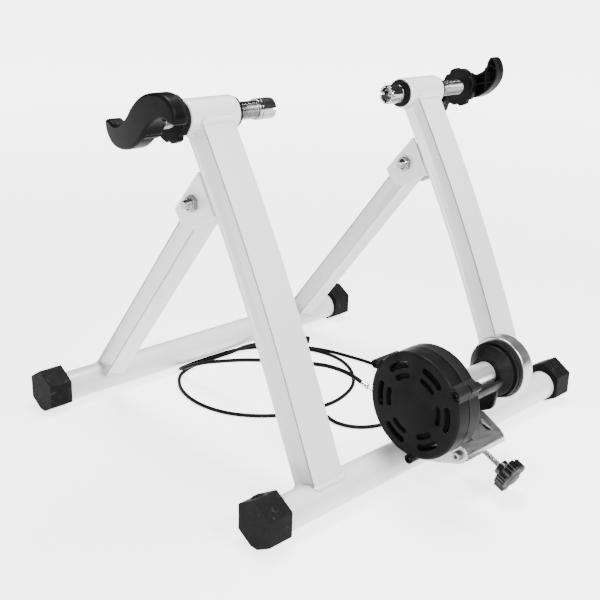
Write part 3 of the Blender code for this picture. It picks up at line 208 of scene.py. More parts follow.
def facing(direction, place=(0, 0, 0), turn=0.0):
    """A matrix that lays Z along a direction; X stays as level as it can, then turns about Z."""
    w = unit(np.array(direction, float))
    u = np.cross((0, 0, 1), w)
    u = unit(u) if np.linalg.norm(u) > NEARLY_Z else np.array((1.0, 0, 0))
    v = np.cross(w, u)
    c, s = math.cos(turn), math.sin(turn)
    return np.column_stack([c * u + s * v, c * v - s * u, w, place])


def across(x=0.0, at=(0.0, 0.0)):
    """A matrix for outlines drawn in (y, z) and given their thickness along X."""
    return np.array(((0, 0, 1, x), (1, 0, 0, at[0]), (0, 1, 0, at[1])), float)


def moved(shape, matrix):
    """Points through a 3 x 4 matrix: three columns turn them and the last one moves them."""
    points, faces = shape
    return points @ matrix[:, :3].T + matrix[:, 3], faces


def spun(corners, place, direction=(1, 0, 0), steps=96, closed=True, arc_steps=4):
    """A profile of (radius, height, fillet), its corners rounded, spun about a direction through a place."""
    profile = fillet(corners, arc_steps, closed)
    shape = loft(polar(profile[:, :1], around(steps), profile[:, 1:]), closed, caps=False)
    return moved(shape, facing(direction, place))


def together(*shapes):
    """Several shapes as one list of points and faces."""
    points, faces, offset = [], [], 0
    for some_points, some_faces in shapes:
        points.append(some_points)
        faces += [[corner + offset for corner in face] for face in some_faces]
        offset += len(some_points)
    return np.concatenate(points), faces


def tidy(mesh):
    """Weld doubled points, point faces outwards and shade smooth up to the sharp angle."""
    work = bmesh.new()
    work.from_mesh(mesh)
    bmesh.ops.remove_doubles(work, verts=work.verts, dist=WELD_DISTANCE)
    bmesh.ops.recalc_face_normals(work, faces=work.faces)
    if work.calc_volume(signed=True) < 0:
        bmesh.ops.reverse_faces(work, faces=work.faces)
    work.to_mesh(mesh)
    work.free()
    mesh.shade_smooth()
    mesh.set_sharp_from_angle(angle=SHARP_ANGLE)


def mesh_object(name, shape):
    """An object whose mesh holds the points at their own places in the frame."""
    points, faces = shape
    mesh = bpy.data.meshes.new(name)
    mesh.from_pydata((points + PLACE).tolist(), [], faces)
    tidy(mesh)
    made = bpy.data.objects.new(name, mesh)
    bpy.context.scene.collection.objects.link(made)
    return made


def carved(shape, *tools, operation="DIFFERENCE"):
    """A shape less others, or joined to them, by a Boolean on temporary objects for each."""
    target = mesh_object("body", shape)
    for tool_shape in tools:
        tool = mesh_object("tool", tool_shape)
        boolean = target.modifiers.new("cut", "BOOLEAN")
        boolean.solver = "MANIFOLD"
        boolean.operation = operation
        boolean.object = tool
        bpy.context.view_layer.update()
        evaluated = target.evaluated_get(bpy.context.evaluated_depsgraph_get())
        mesh = bpy.data.meshes.new_from_object(evaluated)
        target.modifiers.clear()
        old = target.data
        target.data = mesh
        bpy.data.meshes.remove(old)
        bpy.data.objects.remove(tool)
    mesh = target.data
    tidy(mesh)
    points = np.array([tuple(vertex.co) for vertex in mesh.vertices]) - PLACE
    faces = [list(polygon.vertices) for polygon in mesh.polygons]
    bpy.data.objects.remove(target)
    bpy.data.meshes.remove(mesh)
    return points, faces


def piece(name, shape, body, finish, *stands_for):
    """A finished piece: it rides on a body, takes a finish and stands for the nodes that it replaces."""
    made = mesh_object(name, shape)
    made.data.materials.append(FINISHES[finish][0])
    made.modifiers.new("flat faces stay flat", "WEIGHTED_NORMAL").keep_sharp = True
    if body:
        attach(made, body)
    if stands_for:
        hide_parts(*stands_for)
    return made


# %% [markdown]
# ## Finishes
#
# Shader maths reads better as a formula than as a net of nodes. `Term` wraps a socket, so that
# `0.5 + 0.2 * dust` adds the Math nodes for it. All patterns are in Object coordinates, which are
# metres here because every piece's place is in its mesh.

# %% Shader formulas


def give(socket, value):
    """A term is linked to a socket; a plain value is set on it."""
    if isinstance(value, Term):
        value.put(socket)
    else:
        socket.default_value = value


class Term:
    """A socket that can be added and multiplied."""

    def __init__(self, tree, socket):
        self.tree, self.socket = tree, socket

    def put(self, socket):
        self.tree.links.new(self.socket, socket)

    def maths(self, operation, other):
        node = self.tree.nodes.new("ShaderNodeMath")
        node.operation = operation
        for slot, value in zip(node.inputs, (self, other)):
            give(slot, value)
        return Term(self.tree, node.outputs[0])

    def __add__(self, other):
        return self.maths("ADD", other)

    def __mul__(self, other):
        return self.maths("MULTIPLY", other)

    __radd__, __rmul__ = __add__, __mul__


class Finish:
    """One material, its shader and the nodes that a formula needs."""

    def __init__(self, name, colour, roughness, metallic=0.0, **settings):
        self.material = bpy.data.materials.new(name)
        self.material.use_nodes = True
        self.tree = self.material.node_tree
        self.shader = self.tree.nodes["Principled BSDF"]
        self.set("Base Color", (*colour, 1))
        self.set("Roughness", roughness)
        self.set("Metallic", metallic)
        for socket, value in settings.items():
            self.set(socket.replace("_", " "), value)
        self.material.diffuse_color = (*colour, 1)
        self.object = self.node("ShaderNodeTexCoord", output="Object")

    def set(self, socket, value):
        self.shader.inputs[socket].default_value = value

    def node(self, kind, output=0, settings=(), **inputs):
        """Any node: settings are set first, then its sockets get a value or a link."""
        node = self.tree.nodes.new(kind)
        for key, value in dict(settings).items():
            setattr(node, key, value)
        for key, value in inputs.items():
            give(node.inputs[key.replace("_", " ")], value)
        return Term(self.tree, node.outputs[output])

    def stretched(self, scale):
        """Object coordinates, scaled differently along each axis."""
        return self.node("ShaderNodeMapping", output="Vector", Vector=self.object, Scale=scale)

    def position(self, axis):
        return self.node("ShaderNodeSeparateXYZ", output=axis, Vector=self.object)

    def edges(self, low, high):
        """1 on outward edges and 0 on flats and in hollows."""
        return self.ramp(self.node("ShaderNodeNewGeometry", output="Pointiness"), low, high)

    def noise(self, scale, detail, vector=None):
        vector = vector or self.object
        return self.node("ShaderNodeTexNoise", output="Fac", Vector=vector, Scale=scale, Detail=detail)

    def ramp(self, value, low, high):
        """0 up to low, 1 from high, and even in between."""
        clamped = {"clamp": True}
        return self.node("ShaderNodeMapRange", settings=clamped, Value=value, From_Min=low, From_Max=high)

    def mix(self, factor, first, second):
        """Between two colours."""
        mixed = self.tree.nodes.new("ShaderNodeMix")
        mixed.data_type = "RGBA"
        slots = {slot.identifier: slot for slot in (*mixed.inputs, *mixed.outputs)}
        give(slots["Factor_Float"], factor)
        for name, colour in (("A_Color", first), ("B_Color", second)):
            give(slots[name], colour if isinstance(colour, Term) else (*colour, 1))
        return Term(self.tree, slots["Result_Color"])

    def feed(self, socket, value):
        value.put(self.shader.inputs[socket])

    def bump(self, height, strength, distance):
        """Feeds a height, in units of distance metres, to the shader's normal."""
        self.feed("Normal", self.node("ShaderNodeBump", Height=height, Strength=strength, Distance=distance))


# %% [markdown]
# Powder coat is a thick, slightly wavy film: a satin white with "orange peel" a few millimetres
# across, and a shade greyer in soft clouds.

# %% Painted and moulded finishes


def powder_coat():
    """Satin white with orange peel and a slightly cloudy shade."""
    paint = Finish("powder_coat", (0.52, 0.53, 0.515), 0.33, Coat_Weight=0.7, Coat_Roughness=0.12)
    cloud = paint.noise(7, 3)
    shade = paint.mix(paint.ramp(cloud, 0.35, 0.7), (0.40, 0.415, 0.40), (0.44, 0.452, 0.437))
    paint.feed("Base Color", shade)
    peel = paint.noise(420, 2)
    paint.feed("Roughness", 0.30 + 0.10 * paint.noise(60, 4))
    paint.bump(peel, 0.12, 0.0002)
    return paint.material


def moulded_black(
    name="moulded_black", shade=0.0025, roughness=0.34, grain=1500.0, strength=0.25, gloss=0.03
):
    """Grained black, a little paler in clouds; its paler outer edges are part wear, part painted highlight.
    """
    plastic = Finish(name, (shade,) * 3, roughness, Specular_IOR_Level=gloss)
    cloud = plastic.noise(30, 4)
    dark, light = shade * 0.75, shade * 1.5
    flat = plastic.mix(plastic.ramp(cloud, 0.35, 0.7), (dark,) * 3, (light, light, light * 1.04))
    # Paler outer edges: partly wear, partly a painted highlight along the edges.
    plastic.feed("Base Color", plastic.mix(plastic.edges(0.52, 0.64), flat, (shade + 0.008,) * 3))
    plastic.feed("Roughness", roughness - 0.07 + 0.14 * plastic.noise(90, 4))
    plastic.bump(plastic.noise(grain, 3), strength, 0.00015)
    return plastic.material


def knob_black(axis, start, end):
    """Glossy grip; from start to end along the knob's own axis its face turns dull with wear."""
    plastic = Finish("knob_black", (0.003,) * 3, 0.25, Specular_IOR_Level=0.4)
    along = plastic.position("Y") * axis[0] + plastic.position("Z") * axis[1]
    face = plastic.ramp(along, start, end)
    plastic.feed("Roughness", 0.2 + 0.42 * face + 0.08 * plastic.noise(90, 4))
    plastic.feed("Base Color", plastic.mix(face, (0.0018,) * 3, (0.003,) * 3))
    plastic.bump(plastic.noise(1500, 3), 0.15, 0.0001)
    return plastic.material


def foot_rubber():
    """Matt black with dust in clouds, pale scuffs in spots, and pale outer edges: part wear, part painted
    highlight.
    """
    rubber = Finish("foot_rubber", (0.004,) * 3, 0.62, Specular_IOR_Level=0.03)
    dust = rubber.ramp(rubber.noise(45, 6), 0.5, 0.78)
    flat = rubber.mix(dust, (0.0032, 0.0032, 0.0033), (0.0062, 0.0062, 0.0064))
    spots = rubber.ramp(rubber.noise(160, 5), 0.62, 0.72) * 0.5
    # Pale spots are scuffs; the pale outer edges are partly wear and partly a painted highlight.
    scuffs_and_edge_highlight = spots + rubber.edges(0.52, 0.62) * rubber.noise(120, 3)
    rubber.feed("Base Color", rubber.mix(scuffs_and_edge_highlight, flat, (0.028, 0.028, 0.028)))
    rubber.feed("Roughness", 0.5 + 0.18 * rubber.noise(220, 3))
    rubber.bump(rubber.noise(900, 4), 0.35, 0.0003)
    return rubber.material


# %% [markdown]
# Plated and turned metal differ in how their roughness varies: chrome is nearly even with faint
# wiping marks, zinc has a cloudy passivated film, and turned steel has fine rings round its axis.

# %% Metal finishes


def chrome(name="chrome", roughness=0.09, shade=0.62):
    metal = Finish(name, (shade, shade * 1.005, shade * 1.01), roughness, 1.0)
    wiped = metal.noise(120, 3, metal.stretched((1, 1, 3)))
    metal.feed("Roughness", roughness * 0.7 + roughness * 0.8 * wiped)
    metal.bump(metal.noise(260, 2), 0.04, 0.0001)
    return metal.material


def zinc(name="zinc_plate", shade=0.50, roughness=0.22):
    metal = Finish(name, (shade * 1.15,) * 3, 0.3, 1.0)
    film = metal.ramp(metal.noise(80, 4), 0.35, 0.7)
    metal.feed("Base Color", metal.mix(film, (shade, shade * 1.02, shade * 1.07), (shade * 1.35,) * 3))
    metal.feed("Roughness", roughness + 0.2 * metal.noise(300, 3))
    metal.bump(metal.noise(700, 2), 0.08, 0.0001)
    return metal.material


def turned_steel(name="turned_steel", shade=0.86, roughness=0.36):
    """Tool marks run round the X axis, so their height changes along X alone."""
    metal = Finish(name, (shade, shade, shade * 1.01), roughness, 1.0)
    rings = metal.noise(1.0, 3, metal.stretched((2600, 3, 3)))
    broad = metal.noise(1.0, 2, metal.stretched((240, 2, 2)))
    metal.feed("Roughness", roughness - 0.04 + 0.1 * rings)
    metal.feed("Base Color", metal.mix(broad, (shade * 0.92,) * 3, (shade * 1.05,) * 3))
    metal.bump(rings, 0.05, 0.0001)
    return metal.material


FINISHES = {
    "paint": (powder_coat(), "frame_paint"),
    "plastic": (moulded_black(), "black_plastic"),
    "housing": (moulded_black("housing_black", 0.004, 0.38, 900.0, 0.18, 0.03), "black_plastic"),
    "rubber": (foot_rubber(), "foot_rubber"),
    "cast": (moulded_black("cast_black", 0.005, 0.34, 500.0, 0.35), "cast_black"),
    "chrome": (chrome(), "chrome"),
    "sheet": (chrome("plated_sheet", 0.3, 0.34), "chrome"),
    # The magnet carrier's near-black is painted shade: it keeps the view through the cover's slots dark.
    "painted_shade_black": (moulded_black("steel_black_as_painted_shade", 0.0015, 0.5, 700.0, 0.1, 0.02), "zinc"),
    "thread": (zinc("bright_thread", 0.20, 0.14), "zinc"),
    "cup": (chrome("worn_chrome", 0.17, 0.27), "chrome"),
    "zinc": (zinc(), "zinc"),
    "roller": (turned_steel(), "roller_steel"),
    "flywheel": (chrome("flywheel_plate", 0.3, 0.40), "chrome"),
    "rotor": (turned_steel("rotor_aluminium", 0.74, 0.3), "rotor_aluminium"),
    "cable": (moulded_black("cable_jacket", 0.002, 0.33, 2500.0, 0.1), "cable_black"),
}
print("finishes", ", ".join(FINISHES))

# %% [markdown]
# ## The cable
#
# One control cable, 5 mm across and 1.9 m long. It leaves the brake over a low arch, runs to the
# front tube, goes once round on the floor inside the stand, crosses itself in low humps, and ends
# in its handlebar remote behind the left upright. Its points are listed along that route.

# %% The cable's route
CABLE_DIAMETER = 0.005
CABLE_RINGS = 800
CABLE_ROUTE = np.array((   # millimetres
    (-72, 44, 104.7), (-72, 57, 107.8), (-71.5, 76, 108.8), (-71, 100, 106.5), (-70.5, 123, 101.5),
    (-70, 160, 93), (-70, 190, 84.5), (-70.5, 218, 75.5), (-71, 254, 64), (-71.5, 290, 51),
    (-72.5, 328, 36.5), (-73.5, 358, 22.5), (-72.5, 380, 10.5), (-66, 393, 4.5), (-50, 398.5, 2.7),
    (-30, 400, 2.7), (5, 400, 2.7), (38, 397.5, 2.7), (68, 386, 2.7), (97, 364, 2.7), (120, 335, 2.7),
    (131, 305, 2.7), (132, 275, 2.7), (122, 245, 2.7), (103, 217, 2.7), (76, 193.5, 2.7), (40, 179, 2.7),
    (7, 176.5, 2.7), (-30, 183, 2.7), (-64, 199, 2.7), (-90, 223, 2.7), (-107, 252, 2.7),
    (-114, 286, 2.7), (-111, 320, 2.7), (-99, 351, 2.7), (-77, 378, 2.7), (-46, 391.5, 2.7),
    (-10, 394, 2.7), (25, 392.5, 4), (52, 388, 8.2), (76, 379, 8.8), (100, 363, 6.5), (122, 341, 3),
    (140, 308, 2.7), (150, 268, 2.7), (156, 230, 2.7), (157, 190, 2.7), (148, 152, 2.7), (126, 120, 2.7),
    (93, 98, 2.7), (56, 88, 2.7), (21, 90, 2.7), (-6, 105, 2.7), (-19, 130, 3.5), (-19, 156, 7.5),
    (-13, 183, 9.2), (-3, 212, 6.5), (8, 242, 3), (19, 265, 4.5), (33, 280, 7), (45, 287.8, 8),
    (56.9, 294.65, 8),
)) / 1000


def cubics(before, start, end, after, steps):
    """Catmull-Rom: each stretch from start to end is the cubic set by them and their neighbours."""
    before, start, end, after = (points[:, None] for points in (before, start, end, after))
    t = np.linspace(0, 1, steps, endpoint=False)[None, :, None]
    cubic = 2 * start + (end - before) * t + (2 * before - 5 * start + 4 * end - after) * t**2
    cubic += (3 * start - before - 3 * end + after) * t**3
    return (cubic / 2).reshape(-1, start.shape[-1])


def evenly(path, count, last=True):
    """The path's length, and as many points spread evenly along it."""
    travelled = np.concatenate([[0], np.cumsum(np.linalg.norm(np.diff(path, axis=0), axis=1))])
    wanted = np.linspace(0, travelled[-1], count, endpoint=last)
    return np.stack([np.interp(wanted, travelled, path[:, k]) for k in range(3)], -1), travelled[-1]


def smooth_route(points, count):
    """Evenly spaced points on a Catmull-Rom curve through all the points."""
    ends = np.concatenate([[2 * points[0] - points[1]], points, [2 * points[-1] - points[-2]]])
    curve = cubics(ends[:-3], ends[1:-2], ends[2:-1], ends[3:], 24)
    return evenly(np.concatenate([curve, points[-1:]]), count)


def tube_along(points, radius, steps=16):
    """Circles about a path that is never upright. Each circle has one level diameter."""
    tangent = unit(np.gradient(points, axis=0))
    side = unit(np.cross(tangent, (0, 0, 1.0)))
    up = np.cross(side, tangent)
    angle = around(steps)[None, :, None]
    radius = np.broadcast_to(radius, len(points))[:, None, None]
    return loft(points[:, None] + radius * (np.cos(angle) * side[:, None] + np.sin(angle) * up[:, None]))


def make_cable():
    """A round jacket swept along the route, which runs between the tilting unit and the frame."""
    points, length = smooth_route(CABLE_ROUTE, CABLE_RINGS)
    cable = piece("cable_jacket", tube_along(points, CABLE_DIAMETER / 2), None, "cable", "cable_outer")
    print("cable length", round(length, 3))
    return cable, length, (points + PLACE).tolist()


cable, cable_length, cable_path = make_cable()
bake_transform(cable)

# %% [markdown]
# ## Steel tubes
#
# The uprights and legs are rectangular tubes whose ends are cut to the shape of the round tube
# that they meet. A tube is its section carried along a path. Each line along it ends where it
# meets the round tube, which is the root of a quadratic, so the cut needs no Boolean.

# %% Rectangular tubes with coped ends
REAR = np.array((0.0, TUBE_HEIGHT))
FRONT = np.array((0.411, TUBE_HEIGHT))
AXLE = np.array((0.1915, 0.3974))
PIVOT = np.array((0.1835, 0.306))
SLEEVE_RADIUS = 0.01905
TUBE_WALL = 0.0018
WELD_GAP = 0.0003
BEAD_RINGS = 240
POOLS, UNEVEN = 0.10, 0.08      # how far a weld swells in pools and in three slow waves, as shares


def rectangle(width, depth, corner):
    u, v = width / 2, depth / 2
    return fillet([(u, v, corner), (-u, v, corner), (-u, -v, corner), (u, -v, corner)])


def carried(section, path):
    """Section points (u, v) at each path point (y, z): x = u, and v lies along the path's normal."""
    path = np.asarray(path, float)
    tangent = unit(np.gradient(path, axis=0))
    normal = np.stack([-tangent[:, 1], tangent[:, 0]], -1)
    plane = path[:, None] + section[None, :, 1:] * normal[:, None]
    x = np.broadcast_to(section[None, :, :1], (*plane.shape[:2], 1))
    return np.concatenate([x, plane], -1), tangent


def coped(rings, tangent, last, centre, radius):
    """Slide an end ring's points along the tube until they lie on a round tube about a centre."""
    row, along = (-1, tangent[-1]) if last else (0, -tangent[0])
    offset = rings[row][:, 1:] - centre
    b = offset @ along
    reach = -b - np.sqrt(np.maximum(b**2 - (offset**2).sum(1) + radius**2, 0))
    rings[row][:, 1:] += reach[:, None] * along


def box_tube(path, width, depth, corner, x, *copes):
    """Outside and inside surfaces of a rectangular tube, joined at its ends, and its outer rings."""
    layers = []
    for inset in (0, TUBE_WALL):
        section = rectangle(width - 2 * inset, depth - 2 * inset, corner - inset)
        rings, tangent = carried(section, path)
        for cope in copes:
            coped(rings, tangent, *cope)
        layers.append(rings)
    rings = np.concatenate([layers[0], layers[1][::-1]])
    rings[..., 0] += x
    return loft(rings, closed=True), layers[0]


def bead(loop, centre, size, x, ripple=26):
    """A weld bead: a small circle swept round a closed loop, swelling a little at each pool."""
    middle, _ = evenly(np.concatenate([loop, loop[:1]]), BEAD_RINGS, last=False)
    tangent = unit(np.roll(middle, -1, 0) - np.roll(middle, 1, 0))
    out = unit((middle - (0, *centre)) * (0, 1, 1))
    side = np.cross(tangent, out)
    phase = around(BEAD_RINGS)
    swell = size * (1 + POOLS * np.abs(np.sin(phase * ripple)) + UNEVEN * np.sin(phase * 3 + 1))
    angle = around(14)[None, :, None]
    circle = np.cos(angle) * out[:, None] * 0.75 + np.sin(angle) * side[:, None]
    rings = middle[:, None] + circle * swell[:, None, None]
    rings[..., 0] += x
    return loft(rings, closed=True)


def soft_bend(start, corner, end, straight=0.42, steps=20):
    """Two straight runs joined by a quadratic curve."""
    start, corner, end = (np.array(p, float) for p in (start, corner, end))
    first, last = start + (corner - start) * straight, end + (corner - end) * straight
    t = np.linspace(0, 1, steps)[:, None]
    bend = (1 - t) ** 2 * first + 2 * t * (1 - t) * corner + t**2 * last
    return np.concatenate([[start], bend, [end]])


# %% Base tubes, uprights and legs
HALF_WIDTH = 0.2725
UPRIGHT_SPREAD = 0.176
LEG_SIZE = 0.030
UPRIGHT_WIDE, UPRIGHT_DEEP = 0.050, 0.030
UPRIGHT_PATH = soft_bend(REAR, (0.0948, 0.2347), AXLE)
SIDES = (("left", -1), ("right", 1))


def make_base_tube(node, at, body):
    end, inner = HALF_WIDTH - 0.0033, TUBE_RADIUS - TUBE_WALL
    profile = [(TUBE_RADIUS, -end, 0.0004), (TUBE_RADIUS, end, 0.0004), (inner, end, 0), (inner, -end, 0)]
    piece(node + "_skin", spun(profile, (0, *at), steps=144), body, "paint", node)


def make_upright(name, side):
    """A bent tube coped to the rear tube and to its sleeve, with a weld bead round each end."""
    x = side * UPRIGHT_SPREAD
    copes = (False, REAR, TUBE_RADIUS + WELD_GAP), (True, AXLE, SLEEVE_RADIUS + WELD_GAP)
    shape, outside = box_tube(UPRIGHT_PATH, UPRIGHT_WIDE, UPRIGHT_DEEP, 0.005, x, *copes)
    lower, upper = bead(outside[0], REAR, 0.0028, x), bead(outside[-1], AXLE, 0.0028, x)
    piece(f"upright_skin_{name}", together(shape, lower, upper), "frame", "paint", f"upright_{name}")


def upright_face():
    """The upright's upper run: a point of its front face, its direction, and the way that it faces."""
    along = unit(UPRIGHT_PATH[-1] - UPRIGHT_PATH[-2])
    front = np.array((along[1], -along[0]))
    return AXLE + front * (UPRIGHT_DEEP / 2 + WELD_GAP), along, front


def leg_top():
    """A leg runs up past its pivot as far as its corners can swing and clear the upright's front face."""
    on_face, _, front = upright_face()
    to_face = (PIVOT - on_face) @ front
    return math.sqrt(to_face**2 - (LEG_SIZE / 2) ** 2)


def make_leg(name, side):
    """A straight square tube, coped and welded to the front tube."""
    x = side * UPRIGHT_SPREAD
    path = np.stack([PIVOT - unit(FRONT - PIVOT) * leg_top(), PIVOT, (PIVOT + FRONT) / 2, FRONT])
    shape, outside = box_tube(path, LEG_SIZE, LEG_SIZE, 0.004, x, (True, FRONT, TUBE_RADIUS + WELD_GAP))
    weld = bead(outside[-1], FRONT, 0.0026, x, 18)
    piece(f"leg_skin_{name}", together(shape, weld), "front_frame", "paint", f"folding_leg_{name}")


make_base_tube("rear_base_tube", REAR, "frame")
make_base_tube("front_base_tube", FRONT, "front_frame")
for name, side in SIDES:
    make_upright(name, side)
    make_leg(name, side)
print("tubes and weld beads")

# %% [markdown]
# ## Round parts, nuts and screws
#
# Most small hardware is turned, so it is a profile spun about its axis. At each height a nut's
# radius is the smaller of two, its six flats' and a cone's. A thread's radius follows the angle.

# %% Shapes for hardware
FIT = 0.0003            # between pieces that touch
RINGS_PER_TURN = 10     # of a thread


def bar(radius, start, end, place, direction=(1, 0, 0), edge=0.0004, steps=64):
    """A round bar between two distances along a direction through a place."""
    profile = [(0, start, 0), (radius, start, edge), (radius, end, edge), (0, end, 0)]
    return spun(profile, place, direction, steps, closed=False)


def bore(radius, start, end, place, direction=(1, 0, 0), steps=40):
    """A cutter for a round hole."""
    return bar(radius, start, end, place, direction, 0, steps)


def oblong(left, right, low, high):
    return np.array(((left, low), (right, low), (right, high), (left, high)))


def hexagonal(across_flats, start, end, place, direction=(1, 0, 0), hole=0.0, steps=96):
    """A nut or a bolt's head: at each height the smaller of the flats' radius and two cones'."""
    half = across_flats / 2
    chamfer = 0.16 * half
    low, high = np.linspace(start, start + chamfer, 6), np.linspace(end - chamfer, end, 6)
    heights = np.concatenate([low, high])[:, None]
    angle = around(steps)
    flats = half / np.cos((angle + math.pi / 6) % (math.pi / 3) - math.pi / 6)
    radius = np.minimum(flats, 0.97 * half + 1.75 * np.minimum(heights - start, end - heights))
    rings = polar(radius, angle, heights)
    if hole:
        rings = np.concatenate([rings, polar(hole, angle, np.array([[end], [start]]))])
    return moved(loft(rings, closed=hole > 0), facing(direction, place))


def threaded(radius, pitch, start, end, place, direction=(1, 0, 0), steps=48):
    """A thread: r = R - d (1 - tooth), where the tooth's phase is z / pitch - a / 2 pi."""
    heights = np.linspace(start, end, int((end - start) / pitch * RINGS_PER_TURN) + 2)[:, None]
    angle = around(steps)
    phase = (heights / pitch - angle / (2 * math.pi)) % 1
    tooth = np.clip(1.35 * np.abs(2 * phase - 1) - 0.12, 0, 1)
    depth = 0.58 * pitch
    reach = np.minimum(heights - start, end - heights)
    grown = np.minimum(radius - depth * (1 - tooth), radius - depth * 1.1 + reach)
    return moved(loft(polar(grown, angle, heights)), facing(direction, place))


def collar(start, end, edge, hole, radius_at, steps=360):
    """A bored ring whose radius changes with the angle; quarter circles round its two outer edges."""
    angle = around(steps)
    insets, heights = rounded(start, end, edge, 5)
    outside = polar(radius_at(angle) - insets[:, None], angle, heights[:, None])
    return loft([polar(hole, angle, start), *outside, polar(hole, angle, end)], closed=True)


# %% [markdown]
# ## Feet
#
# Each foot is one rubber cap pushed over the tube's end. Its seven sides lie at different
# distances from the tube, so turning the foot levels the stand on an uneven floor.

# %% Feet
FOOT_LENGTH = 0.0304
FOOT_WIDE = 0.0239      # half of the cap's width
FOOT_PEAK, FOOT_SHOULDER, FOOT_KNEE = 0.0328, 0.018, -0.011
END_WALL = 0.003


def make_foot(name, side, at):
    """A seven-sided outline with crisp corners, and a socket. The rear left cap has a low round button."""
    wide, edge = FOOT_WIDE, 0.0024
    outline = fillet([(0, FOOT_PEAK, edge), (-wide, FOOT_SHOULDER, edge), (-wide, FOOT_KNEE, edge),
                      (-0.005, -TUBE_HEIGHT, 0.0012), (0.005, -TUBE_HEIGHT, 0.0012),
                      (wide, FOOT_KNEE, edge), (wide, FOOT_SHOULDER, edge)], 5)
    middle = side * (HALF_WIDTH - FOOT_LENGTH / 2)
    shape = moved(slab(outline, -FOOT_LENGTH / 2, FOOT_LENGTH / 2, 0.0008, 4), across(middle, at))
    ends = sorted((side * (HALF_WIDTH - END_WALL), side * (HALF_WIDTH - FOOT_LENGTH - 0.01)))
    shape = carved(shape, bore(TUBE_RADIUS + FIT, *ends, (0, *at), steps=96))
    if name == "rear_foot_left":
        slope = unit(np.array((FOOT_PEAK - FOOT_SHOULDER, wide)))
        spot = at + (wide / 2, (FOOT_PEAK + FOOT_SHOULDER) / 2) - slope * 0.0115
        button = [(0, 0.0139, 0), (0.0040, 0.0136, 0.004), (0.0080, 0.0117, 0.001),
                  (0.0080, 0.0095, 0), (0, 0.0095, 0)]
        shape = carved(shape, spun(button, (middle, *spot), (0, *slope), 64, False), operation="UNION")
    piece(name + "_cap", shape, name, "rubber", name)


for end, at in (("rear", REAR), ("front", FRONT)):
    for label, side in SIDES:
        make_foot(f"{end}_foot_{label}", side, at)
print("feet")

# %% [markdown]
# ## Axle clamps
#
# A steel sleeve on each upright guides an M20 screw between two nylon bushes. The screw pushes a
# slotted steel cup onto the bicycle's axle. A lock ring jams against the sleeve to hold it.

# %% Clamps
SLEEVE_INNER = 0.1424
SLEEVE_OUTER = 0.2090
SCREW_RADIUS = 0.010
SCREW_PITCH = 0.0025
BUSH_FLANGE = 0.004
BUSH_DEPTH = 0.013
CUP_LENGTH = 0.0245
SCREW_END = 0.2860      # on the backed-out right clamp, as is the next
RIM_PLANE = 0.2763      # the handle's open side
ADVANCE = {"left": 0.0295, "right": 0.0}
RING_PLACE = {"left": 0.2168, "right": 0.2620}
RING_THICKNESS = 0.0090


def make_sleeve(name, side):
    """A steel sleeve and the flanged bushes pressed into its two ends."""
    start, end = sorted((side * SLEEVE_INNER, side * SLEEVE_OUTER))
    inside = SLEEVE_RADIUS - 0.0025
    profile = [(SLEEVE_RADIUS, start, 0.0019), (SLEEVE_RADIUS, end, 0.0019),
               (inside, end, 0.0004), (inside, start, 0.0004)]
    sleeve = spun(profile, (0, *AXLE), steps=144, arc_steps=8)
    piece(f"sleeve_skin_{name}", sleeve, "frame", "paint", f"axle_sleeve_{name}")
    hole, flange = SCREW_RADIUS + FIT, SLEEVE_RADIUS - 0.0018
    profile = [(hole, -BUSH_DEPTH, 0.0003), (inside - FIT, -BUSH_DEPTH, 0.0006), (inside - FIT, FIT, 0),
               (flange, FIT, 0.0003), (flange, BUSH_FLANGE, 0.0010), (hole, BUSH_FLANGE, 0.0008)]
    for label, face, out in (("inner", side * SLEEVE_INNER, -side), ("outer", side * SLEEVE_OUTER, side)):
        bush = spun(profile, (face, *AXLE), (out, 0, 0), 144, arc_steps=6)
        piece(f"bush_{label}_{name}", bush, "frame", "plastic", f"sleeve_bush_{label}_{name}")


def make_cup(name, side):
    """A turned cup: chamfered rim, socket, a groove before its collar, and four slots in the rim."""
    back = SLEEVE_INNER - BUSH_FLANGE - FIT - ADVANCE[name]
    rim = back - CUP_LENGTH
    floor, groove = rim + 0.013, back - 0.0040
    wide, neck = 0.0120, 0.0110
    profile = [(0, floor, 0), (0.0070, floor, 0.0008), (0.0080, rim + 0.0035, 0.0004), (0.0092, rim, 0.0003),
               (0.0108, rim, 0.0003), (wide, rim + 0.0013, 0.0004), (wide, groove - 0.0013, 0.0003),
               (neck, groove - 0.0010, 0.0002), (neck, groove - 0.0002, 0.0002), (wide, groove, 0.0003),
               (wide, back, 0.0009), (SCREW_RADIUS, back, 0.0002), (SCREW_RADIUS, floor + 0.003, 0),
               (0, floor + 0.003, 0)]
    out = (side, 0, 0)
    shape = spun(profile, (0, *AXLE), out, 120, closed=False)
    notch = slab(oblong(-0.02, 0.02, -0.0016, 0.0016), rim - 0.004, rim + 0.006, 0.0004)
    slots = [moved(notch, facing(out, (0, *AXLE), math.radians(angle))) for angle in (0, 90)]
    piece(f"axle_cup_turned_{name}", carved(shape, *slots), f"axle_cup_{name}", "cup", f"axle_cup_{name}")
    screw = threaded(SCREW_RADIUS, SCREW_PITCH, floor + 0.0033, SCREW_END - ADVANCE[name], (0, *AXLE), out)
    piece(f"axle_screw_thread_{name}", screw, f"clamp_screw_{name}", "thread", f"axle_screw_{name}")


def make_lock_ring(name, side):
    """Eight finger dips: r = R - 2.6 mm cos(8a)^1.5 where the cosine is positive."""
    start = RING_PLACE[name]

    def radius_at(angle):
        return 0.02575 - 0.0026 * np.maximum(0, np.cos(8 * angle)) ** 1.5

    shape = collar(start, start + RING_THICKNESS, 0.0014, SCREW_RADIUS + FIT, radius_at)
    shape = moved(shape, facing((side, 0, 0), (0, *AXLE)))
    piece(f"lock_ring_moulded_{name}", shape, f"lock_ring_{name}", "plastic", f"lock_ring_{name}")


